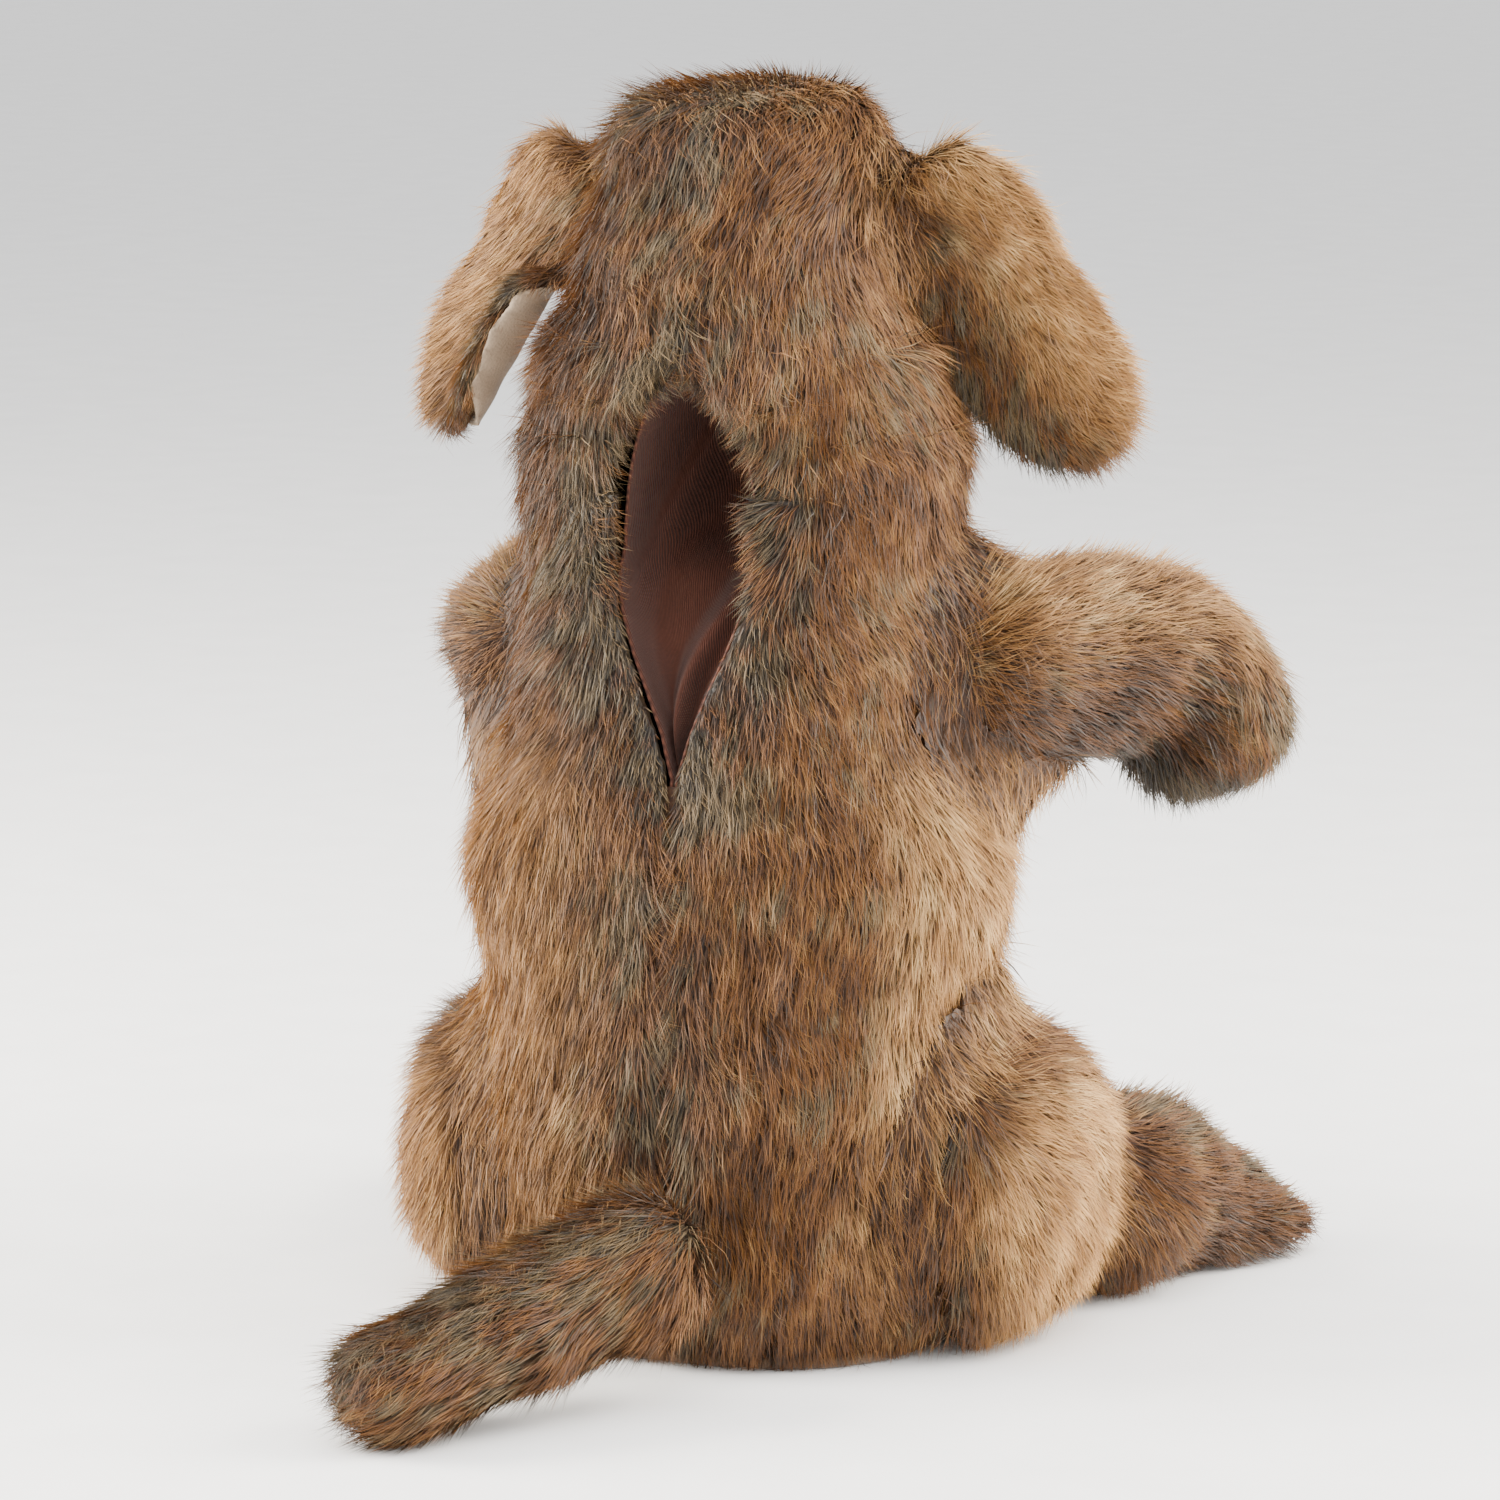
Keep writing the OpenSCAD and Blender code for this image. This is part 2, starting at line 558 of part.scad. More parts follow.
// ---- legs -------------------------------------------------------------------------------------
// The thigh lies against the plane x = leg_plane, so that it can turn about the hip axis
thigh_back = hip_axis.y + 28;
thigh_front = ankle_y - 6;
function thigh_point(u, v, inset) =
    let (long = (thigh_back - thigh_front) / 2 - inset, top = hip_axis_height + thigh_height,
        p = oval(long, top / 2 - 0.25 - inset, u * 360, body_power), size = fade(v, 0.7))
    [leg_plane + (thigh_width - inset) * sin(90 * v),
        max(ankle_y + inset, (thigh_back + thigh_front) / 2 + p.x * size),
        top / 2 + 0.25 + p.y * size];
module thigh_cover(side) {
    left_and_right(side) color(fur)
        cup(function(u, v) thigh_point(u, v, 0), function(u, v) thigh_point(u, v, fur_wall), 28, 10);
}
module thigh_filling(side) {
    middle = [leg_plane + 0.2, (thigh_back + thigh_front) / 2, (hip_axis_height + thigh_height) / 2];
    left_and_right(side) color(filling) lump(function(u, v)
        v < 0.05 ? middle : thigh_point(u, past_start(v), fur_wall + cloth_gap) + [0.2, 0, 0], 20, 10);
}
foot_top = (hip_axis_height + thigh_height) * 0.56;
function foot_point(u, v, inset) =
    let (along = min(1, v / 0.7), round = max(0, (v - 0.7) / 0.3), size = fade(round, 0.6),
        w = (mix(thigh_width * 0.58, foot_width / 2, soft(along)) - inset) * size,
        h = mix(foot_top, toe_height, soft(along)), c = oval(1, 1, u * 360, 2.5),
        y = ankle_y - 0.3 - (foot_length - 16) * along - (16 - inset) * sin(90 * round),
        x = leg_plane + thigh_width * 0.6 + (ankle_y - y) * tan(foot_angle),
        low = inset, high = h - inset, mid = (low + high) / 2 - h * 0.2 * (1 - size))
    [x + w * c.x, y, max(inset, mid + (high - low) / 2 * c.y * size)];
module foot_cover(side) {
    left_and_right(side) color(fur)
        cup(function(u, v) foot_point(u, v, 0), function(u, v) foot_point(u, v, fur_wall), 24, 12);
}
module foot_filling(side) {
    middle = [leg_plane + thigh_width * 0.6, ankle_y - 0.3, foot_top / 2];
    left_and_right(side) color(filling) lump(function(u, v)
        v < 0.05 ? middle : foot_point(u, past_start(v), fur_wall + cloth_gap), 20, 11);
}

// ---- tail -------------------------------------------------------------------------------------
module at_tail() {
    run = tail_tip - tail_root;
    translate(tail_root) rotate([0, acos(run.z / norm(run)), atan2(run.y, run.x)]) children();
}
tail_run = norm(tail_tip - tail_root);
function tail_outline(inset, from) = concat(
    arc_points(tail_root_radius - inset, from, 0, 6),
    [for (p = arc_points(tail_tip_radius - inset, 0, 90, 6)) [max(0, p.x), p.y + tail_run]]);
module tail_cover() {
    outer = tail_outline(0, -60);
    inner = tail_outline(fur_wall, -60);
    color(dark_fur) at_tail() rotate_extrude()
        polygon(concat(outer, [for (i = [len(inner) - 1:-1:0]) inner[i]]));
}
module tail_filling() {
    body = tail_outline(fur_wall + cloth_gap, -50);
    color(filling) at_tail() rotate_extrude() polygon(concat([[0, body[0].y]], body));
}

back_panel(1);  // back_panel_left
back_panel(-1);  // back_panel_right
belly_panel(1);  // belly_panel_left
belly_panel(-1);  // belly_panel_right
base_panel();
seat_filling();
lining_back(1);  // lining_back_left
lining_back(-1);  // lining_back_right
lining_front();
neck_cover();
head_cover();
head_filling();
head_lining();
muzzle_cover();
muzzle_filling();
upper_mouth_plate();
nose();
eye(1);  // eye_left
eye(-1);  // eye_right
eye_washer(1);  // eye_washer_left
eye_washer(-1);  // eye_washer_right
jaw_cover();
jaw_filling();
lower_mouth_plate();
tongue();
ear_fur(1);  // ear_fur_left
ear_fur(-1);  // ear_fur_right
ear_lining(1);  // ear_lining_left
ear_lining(-1);  // ear_lining_right
arm_cuff(1);  // arm_cuff_left
arm_cuff(-1);  // arm_cuff_right
arm_sleeve(1);  // arm_sleeve_left
arm_sleeve(-1);  // arm_sleeve_right
arm_lining(1);  // arm_lining_left
arm_lining(-1);  // arm_lining_right
paw_cover(1);  // paw_cover_left
paw_cover(-1);  // paw_cover_right
paw_filling(1);  // paw_filling_left
paw_filling(-1);  // paw_filling_right
thigh_cover(1);  // thigh_cover_left
thigh_cover(-1);  // thigh_cover_right
thigh_filling(1);  // thigh_filling_left
thigh_filling(-1);  // thigh_filling_right
foot_cover(1);  // foot_cover_left
foot_cover(-1);  // foot_cover_right
foot_filling(1);  // foot_filling_left
foot_filling(-1);  // foot_filling_right
tail_cover();
tail_filling();
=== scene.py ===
# %% [markdown]
# # A plush dog hand puppet
#
# The puppet sits upright with its back to us. Its skin is faux fur cloth: a knitted backing with a
# dense pile about 14 mm long, in mixed rust, tan and grey-brown fibres. A lens-shaped slit in its
# back leads into a brown ribbed lining for the hand. This file builds the looks around the packed
# parts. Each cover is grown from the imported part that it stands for, and its pile is real blades of
# hair scattered over it, because particle hair isn't a mesh and wouldn't travel with the model.

# %% Tools and the frame
import json
import math

import bmesh
import bpy
from mathutils import Matrix, Vector, noise
from mathutils.bvhtree import BVHTree

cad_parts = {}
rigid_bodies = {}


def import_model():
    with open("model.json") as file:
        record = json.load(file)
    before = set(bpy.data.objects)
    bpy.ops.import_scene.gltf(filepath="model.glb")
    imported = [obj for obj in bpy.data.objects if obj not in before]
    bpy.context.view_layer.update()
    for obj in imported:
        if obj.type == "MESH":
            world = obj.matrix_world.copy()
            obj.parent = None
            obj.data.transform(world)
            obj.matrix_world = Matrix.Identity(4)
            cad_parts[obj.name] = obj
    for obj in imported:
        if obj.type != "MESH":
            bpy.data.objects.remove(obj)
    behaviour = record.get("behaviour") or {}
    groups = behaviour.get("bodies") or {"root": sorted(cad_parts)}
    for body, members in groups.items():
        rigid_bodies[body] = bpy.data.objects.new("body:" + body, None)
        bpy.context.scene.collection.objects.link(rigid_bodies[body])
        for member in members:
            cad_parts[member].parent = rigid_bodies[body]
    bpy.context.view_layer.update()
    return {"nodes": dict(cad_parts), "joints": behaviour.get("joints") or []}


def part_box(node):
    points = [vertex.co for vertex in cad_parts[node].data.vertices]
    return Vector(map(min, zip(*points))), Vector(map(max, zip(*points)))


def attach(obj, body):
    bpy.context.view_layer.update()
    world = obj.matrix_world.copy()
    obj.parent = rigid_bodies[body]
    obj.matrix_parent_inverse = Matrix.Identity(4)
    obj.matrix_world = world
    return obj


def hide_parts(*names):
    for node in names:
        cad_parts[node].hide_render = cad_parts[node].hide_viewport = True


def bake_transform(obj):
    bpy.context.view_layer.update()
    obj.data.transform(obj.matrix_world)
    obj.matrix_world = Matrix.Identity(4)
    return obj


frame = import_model()

MM = 0.001
TAU = 2 * math.pi
UP, DOWN = Vector((0, 0, 1)), Vector((0, 0, -1))

# %% [markdown]
# ## Camera first
#
# The puppet is seen from behind and a little to its right, from slightly above. A long lens keeps
# its proportions. The lens and the distance go together: at 1.5 m a 136 mm lens on a 36 mm sensor
# frames a width of 0.396 m at the puppet.

# %% Camera
VIEW_AZIMUTH, VIEW_ELEVATION, VIEW_DISTANCE = math.radians(200), math.radians(11), 1.5
AIM = Vector((0.0, 0.0, 0.155))


def view_direction(azimuth, elevation):
    """From the puppet towards the camera."""
    return Vector((math.sin(azimuth) * math.cos(elevation), -math.cos(azimuth) * math.cos(elevation),
                   math.sin(elevation)))


def add_camera():
    data = bpy.data.cameras.new("camera")
    data.lens, data.sensor_width = 136.4, 36.0
    data.shift_x, data.shift_y = 0.0067, 0.0
    data.clip_start, data.clip_end = 0.05, 20.0
    camera = bpy.data.objects.new("camera", data)
    toward = view_direction(VIEW_AZIMUTH, VIEW_ELEVATION)
    camera.location = AIM + toward * VIEW_DISTANCE
    camera.rotation_mode = "QUATERNION"
    camera.rotation_quaternion = (-toward).to_track_quat("-Z", "Y")
    bpy.context.collection.objects.link(camera)
    bpy.context.scene.camera = camera
    return camera


add_camera()

# %% [markdown]
# ## Helpers for meshes and node trees
#
# Every piece is a bmesh made into an object that sits at the origin. `add_node` makes one node with
# its settings and its inputs in one line, in a shader tree or a geometry tree alike.

# %% Helpers


def smoothstep(low, high, x):
    """0 below low, 1 above high, and a smooth rise between. low may be the larger of the two."""
    t = min(1.0, max(0.0, (x - low) / (high - low)))
    return t * t * (3 - 2 * t)


def mix(a, b, t):
    return a + (b - a) * t


def object_from(bm, name):
    mesh = bpy.data.meshes.new(name)
    bm.to_mesh(mesh)
    bm.free()
    obj = bpy.data.objects.new(name, mesh)
    bpy.context.collection.objects.link(obj)
    return obj


def apply_modifiers(obj):
    graph = bpy.context.evaluated_depsgraph_get()
    mesh = bpy.data.meshes.new_from_object(obj.evaluated_get(graph), preserve_all_data_layers=True,
                                           depsgraph=graph)
    obj.modifiers.clear()
    obj.data = mesh
    return obj


def reshape(obj, move):
    """Runs move(bm) on the object's mesh."""
    bm = bmesh.new()
    bm.from_mesh(obj.data)
    bm.normal_update()
    move(bm)
    bm.to_mesh(obj.data)
    bm.free()
    obj.data.update()
    return obj


def smooth_mesh(bm, rounds):
    for _ in range(rounds):
        bmesh.ops.smooth_vert(bm, verts=bm.verts, factor=0.5, use_axis_x=True, use_axis_y=True,
                              use_axis_z=True)


def add_ball(bm, middle, radius):
    bmesh.ops.create_uvsphere(bm, u_segments=24, v_segments=16, radius=radius,
                              matrix=Matrix.Translation(middle))


def shade_smooth(obj):
    for face in obj.data.polygons:
        face.use_smooth = True


def joint_named(name):
    return next(joint for joint in frame["joints"] if joint["name"] == name)


def add_node(tree, kind, inputs=(), **settings):
    node = tree.nodes.new(kind)
    for key, value in settings.items():
        setattr(node, key, value)
    for key, value in dict(inputs).items():
        if isinstance(value, bpy.types.NodeSocket):
            tree.links.new(value, node.inputs[key])
        else:
            node.inputs[key].default_value = value
    return node


def triangles(obj):
    return sum(len(p.vertices) - 2 for p in obj.data.polygons)


# %% [markdown]
# ## Covers grown from the frame
#
# A cover is cloth sewn in panels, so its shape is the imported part's, only softer. It could be
# modelled again from nothing, but then it could drift from the part. Instead the part's faces are
# copied, merged and remeshed in small voxels, which rounds every edge as cloth does.

# %% Covers


def keep_outer_island(bm):
    """Deletes every loose shell but the largest, such as the hollow between a cover and its filling."""
    left, islands = set(bm.verts), []
    while left:
        seed = left.pop()
        island, front = [seed], [seed]
        while front:
            near = [e.other_vert(v) for v in front for e in v.link_edges]
            front = [v for v in dict.fromkeys(near) if v in left]
            left.difference_update(front)
            island += front
        islands.append(island)
    islands.sort(key=len)
    spare = [v for island in islands[:-1] for v in island]
    bmesh.ops.delete(bm, geom=spare, context="VERTS")


def cover_from(name, nodes, voxel=2.5 * MM, inset=1.5 * MM, rounds=4, extra=None):
    """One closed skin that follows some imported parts, set in by the depth of the pile's roots."""
    bm = bmesh.new()
    for node in nodes:
        bm.from_mesh(frame["nodes"][node].data)
    if extra:
        extra(bm)
    bmesh.ops.remove_doubles(bm, verts=bm.verts, dist=0.01 * MM)
    obj = object_from(bm, name)
    remesh = obj.modifiers.new("voxels", "REMESH")
    remesh.mode, remesh.voxel_size = "VOXEL", voxel
    apply_modifiers(obj)

    def soften(bm):
        keep_outer_island(bm)
        smooth_mesh(bm, rounds)
        bm.normal_update()
        for v in bm.verts:
            v.co -= v.normal * inset
    return reshape(obj, soften)


def plush_lumps(obj, height=1.2 * MM, size=22 * MM):
    """Low, broad unevenness, as a stuffed cloth has."""
    def swell(bm):
        for v in bm.verts:
            v.co += v.normal * (height * noise.noise(v.co / size))
    return reshape(obj, swell)


def tree_of(nodes):
    """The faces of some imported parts, ready for rays."""
    bm = bmesh.new()
    for node in nodes:
        bm.from_mesh(frame["nodes"][node].data)
    tree = BVHTree.FromBMesh(bm)
    bm.free()
    return tree


# %% [markdown]
# ## The slit
#
# The slit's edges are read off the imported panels, so the lining, the lie of the pile and the grey
# band along it all follow the same line.

# %% Slit line
BACK_PANELS = ("back_panel_left", "back_panel_right")
BELLY_PANELS = ("belly_panel_left", "belly_panel_right")


def edge_rows(node):
    """(height, nearest x to the middle) for each row of a panel's vertices behind the puppet."""
    rows = {}
    for v in frame["nodes"][node].data.vertices:
        if v.co.y > 0.01 and v.co.x > -0.001:
            z = round(v.co.z, 4)
            rows[z] = min(rows.get(z, 1.0), max(0.0, v.co.x))
    return sorted(rows.items())


SLIT_ROWS = edge_rows("back_panel_left") + edge_rows("neck_cover")
SLIT_BOTTOM = max(z for z, x in SLIT_ROWS if x < 1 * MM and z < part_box("neck_cover")[0].z)
SLIT_TOP = SLIT_ROWS[-1][0] + 5 * MM


def slit_half(z):
    """Half the slit's width at a height, 0 above and below it."""
    if z <= SLIT_BOTTOM or z >= SLIT_TOP:
        return 0.0
    rows = SLIT_ROWS + [(SLIT_TOP, 0.0)]
    for (z0, x0), (z1, x1) in zip(rows, rows[1:]):
        if z0 <= z <= z1:
            return x0 if z1 - z0 < 1e-6 else mix(x0, x1, (z - z0) / (z1 - z0))
    return 0.0


print("slit from", round(SLIT_BOTTOM, 4), "to", round(SLIT_TOP, 4), "half width", round(slit_half(0.21), 4))


def slit_distance(p):
    """How far a point on the back lies outside the slit's edge."""
    if p.y < 0:
        return 1.0
    below, above = max(0.0, SLIT_BOTTOM - p.z), max(0.0, p.z - SLIT_TOP)
    return math.hypot(max(0.0, abs(p.x) - slit_half(p.z)), below + above)


# %% [markdown]
# ## Fur colours
#
# The cloth's fibres come in rust, tan and dark brown, with grey-olive ones along the spine, the
# slit, the tail and the paws; under the paws the darker grey is painted shade. Each blade carries two
# numbers, one of its own and one of its lock, and this group turns them into a colour. Roots are dark
# and tips are light: the undercoat is darker, and the roots also carry painted shade of the pile's own
# shadow. The gold input is a painted highlight on the sides that the lamps catch, and an even golden
# tint on the muzzle, the jaw and the webs round the ears.

# %% Fur tint group


def color_ramp(tree, factor, stops):
    ramp = add_node(tree, "ShaderNodeValToRGB", {"Fac": factor})
    elements = ramp.color_ramp.elements
    while len(elements) < len(stops):
        elements.new(1.0)
    for element, (place, color) in zip(elements, stops):
        element.position, element.color = place, (*color, 1.0)
    return ramp.outputs["Color"]


def math_node(tree, operation, a, b=0.0, clamp=False):
    node = add_node(tree, "ShaderNodeMath", {0: a, 1: b}, operation=operation, use_clamp=clamp)
    return node.outputs[0]


def mix_color(tree, factor, a, b, blend="MIX"):
    node = add_node(tree, "ShaderNodeMix", {0: factor, 6: a, 7: b}, data_type="RGBA", blend_type=blend)
    return node.outputs[2]


def new_group(name, inputs, outputs):
    group = bpy.data.node_groups.new(name, "ShaderNodeTree")
    for label, kind in inputs:
        group.interface.new_socket(label, in_out="INPUT", socket_type=kind)
    for label, kind in outputs:
        group.interface.new_socket(label, in_out="OUTPUT", socket_type=kind)
    start = group.nodes.new("NodeGroupInput")
    end = group.nodes.new("NodeGroupOutput")
    return group, start.outputs, end.inputs


def make_fur_tint():
    group, given, result = new_group(
        "fur_tint",
        [("Strand", "NodeSocketFloat"), ("Lock", "NodeSocketFloat"), ("Along", "NodeSocketFloat"),
         ("Grey", "NodeSocketFloat"), ("Gold_tint_and_highlight", "NodeSocketFloat"), ("Vector", "NodeSocketVector")],
        [("Color", "NodeSocketColor"), ("Roughness", "NodeSocketFloat")])
    broad = add_node(group, "ShaderNodeTexNoise", {"Vector": given["Vector"], "Scale": 34.0, "Detail": 3.0})
    streak = add_node(group, "ShaderNodeTexNoise", {"Vector": given["Vector"], "Scale": 150.0, "Detail": 2.0})
    # a blade's warmth: mostly its own number, then its lock's, then the patch it grows in
    own = math_node(group, "MULTIPLY", given["Strand"], 0.56)
    lock = math_node(group, "MULTIPLY", given["Lock"], 0.22)
    patch = math_node(group, "MULTIPLY", math_node(group, "ADD", broad.outputs["Fac"],
                                                   streak.outputs["Fac"]), 0.55)
    warmth = math_node(group, "ADD", math_node(group, "ADD", own, lock), patch)
    warmth = math_node(group, "SUBTRACT", warmth, 0.44)
    rust = color_ramp(group, warmth, [
        (0.05, (0.008, 0.004, 0.002)), (0.25, (0.030, 0.013, 0.004)), (0.45, (0.082, 0.030, 0.006)),
        (0.62, (0.150, 0.058, 0.012)), (0.78, (0.235, 0.110, 0.032)), (0.95, (0.460, 0.280, 0.115))])
    grey = color_ramp(group, warmth, [
        (0.05, (0.007, 0.005, 0.003)), (0.40, (0.036, 0.027, 0.014)), (0.65, (0.095, 0.066, 0.032)),
        (0.95, (0.240, 0.160, 0.078))])
    # the colour of the gold input: a painted highlight on lit sides, and an even golden tint on the muzzle
    gold_tint_and_highlight = color_ramp(group, warmth, [
        (0.10, (0.120, 0.048, 0.010)), (0.55, (0.400, 0.200, 0.060)), (0.95, (0.780, 0.520, 0.230))])
    edge = math_node(group, "MULTIPLY", math_node(group, "SUBTRACT", broad.outputs["Fac"], 0.5), 1.8)
    chance = math_node(group, "ADD", math_node(group, "ADD", given["Grey"], edge), given["Lock"])
    is_grey = math_node(group, "MULTIPLY", math_node(group, "SUBTRACT", chance, 0.80), 5.0, clamp=True)
    tinted = mix_color(group, is_grey, rust, grey)
    tinted = mix_color(group, given["Gold_tint_and_highlight"], tinted, gold_tint_and_highlight)
    # roots darker, tips lighter: the darker undercoat, plus painted shade of the pile's self-shadow at the
    # roots
    depth = color_ramp(group, given["Along"], [
        (0.0, (0.16, 0.13, 0.11)), (0.30, (0.50, 0.45, 0.42)), (0.62, (1.0, 0.98, 0.94)),
        (1.0, (1.45, 1.38, 1.22))])
    shaded = mix_color(group, 1.0, tinted, depth, blend="MULTIPLY")
    group.links.new(shaded, result["Color"])
    rough = math_node(group, "ADD", math_node(group, "MULTIPLY", given["Strand"], 0.18), 0.42)
    group.links.new(rough, result["Roughness"])
    return group


FUR_TINT = make_fur_tint()


def named_value(tree, name):
    return add_node(tree, "ShaderNodeAttribute", attribute_name=name).outputs["Fac"]


def fur_material(name, along=None):
    """The blades' finish, or with a fixed along the finish of the knitted backing between them, dark as the
    roots: painted shade under the pile.
    """
    material = bpy.data.materials.new(name)
    material.use_nodes = True
    tree = material.node_tree
    principled = tree.nodes["Principled BSDF"]
    place = add_node(tree, "ShaderNodeTexCoord").outputs["Object"]
    if along is None:
        strand, lock, height = (named_value(tree, n) for n in ("strand", "lock", "along"))
    else:
        grain = add_node(tree, "ShaderNodeTexNoise", {"Vector": place, "Scale": 900.0, "Detail": 2.0})
        strand = lock = grain.outputs["Fac"]
        height = along
    tint = add_node(tree, "ShaderNodeGroup", node_tree=FUR_TINT)
    for label, value in (("Strand", strand), ("Lock", lock), ("Along", height), ("Vector", place),
                         ("Grey", named_value(tree, "grey")), ("Gold_tint_and_highlight", named_value(tree, "gold_tint_and_highlight"))):
        if isinstance(value, float):
            tint.inputs[label].default_value = value
        else:
            tree.links.new(value, tint.inputs[label])
    tree.links.new(tint.outputs["Color"], principled.inputs["Base Color"])
    tree.links.new(tint.outputs["Roughness"], principled.inputs["Roughness"])
    principled.inputs["Specular IOR Level"].default_value = 0.38
    principled.inputs["Sheen Weight"].default_value = 0.05
    principled.inputs["Sheen Roughness"].default_value = 0.4
    principled.inputs["Sheen Tint"].default_value = (1.0, 0.82, 0.6, 1.0)
    return material


PILE_FINISH = fur_material("fur_pile")
# the backing gets the roots' dark colour, painted shade under the pile
BACKING_FINISH = fur_material("fur_backing", along=0.12)

# %% [markdown]
# ## Blades of pile
#
# A fibre is drawn as a thin tapered strip that bends over: with tens of thousands on a panel, a
# tube would cost six times the faces and look the same. Four shapes are enough, a straight one for
# the underfur and three bent ones, because each copy gets its own turn, length and lean.

# %% Blades


def make_blade(name, segments, bend, width):
    """A strip one unit long that starts along +Z and bends towards +X."""
    bm = bmesh.new()
    bmesh.ops.create_grid(bm, x_segments=1, y_segments=segments, size=0.5)
    for v in bm.verts:
        along, side = v.co.y + 0.5, v.co.x * 2
        angle = bend * along
        half = width / 2 * (1 - along) ** 0.7
        v.co = Vector((along * math.sin(angle / 2), -side * half, along * math.cos(angle / 2)))
    bmesh.ops.remove_doubles(bm, verts=bm.verts, dist=1e-6)
    blade = object_from(bm, name)
    heights = blade.data.attributes.new("along", "FLOAT", "POINT")
    heights.data.foreach_set("value", [min(1.0, v.co.length) for v in blade.data.vertices])
    shade_smooth(blade)
    return blade


BLADES = bpy.data.collections.new("blades")
bpy.context.scene.collection.children.link(BLADES)
# (name, faces along it, how far it bends in radians, how wide it is)
BLADE_SHAPES = (("blade_a", 1, 0.0, 0.030), ("blade_b", 2, 0.9, 0.026),
                ("blade_c", 3, 1.5, 0.026), ("blade_d", 2, 0.5, 0.022))
for name, segments, bend, width in BLADE_SHAPES:
    blade = make_blade(name, segments, bend, width)
    bpy.context.collection.objects.unlink(blade)
    BLADES.objects.link(blade)

# %% [markdown]
# ## Planting the pile
#
# Each cover carries its own plan of the pile as attributes: which way it is combed, how long it is,
# how grey it is, and how golden, which is mostly a painted highlight on the sides the lamps catch. A
# geometry node tree scatters points over the cover, leans a blade at each along the comb, gathers
# neighbours into locks, and makes it all one mesh.

# %% Pile tree
BLADE_SCALE = 14 * MM
FACES_PER_BLADE = 3.0
DICE_STEP = 7919.0
SHORTEST, SPREAD_OF_LENGTH = 0.6, 0.55
THINNEST, SPREAD_OF_WIDTH = 0.75, 0.5
LEAST_RISE = 0.16
SPIN_RANGE = 2.2


def vector_math(tree, operation, a, b=None, scale=None):
    inputs = {0: a}
    if b is not None:
        inputs[1] = b
    if scale is not None:
        inputs["Scale"] = scale
    return add_node(tree, "ShaderNodeVectorMath", inputs, operation=operation).outputs[0]


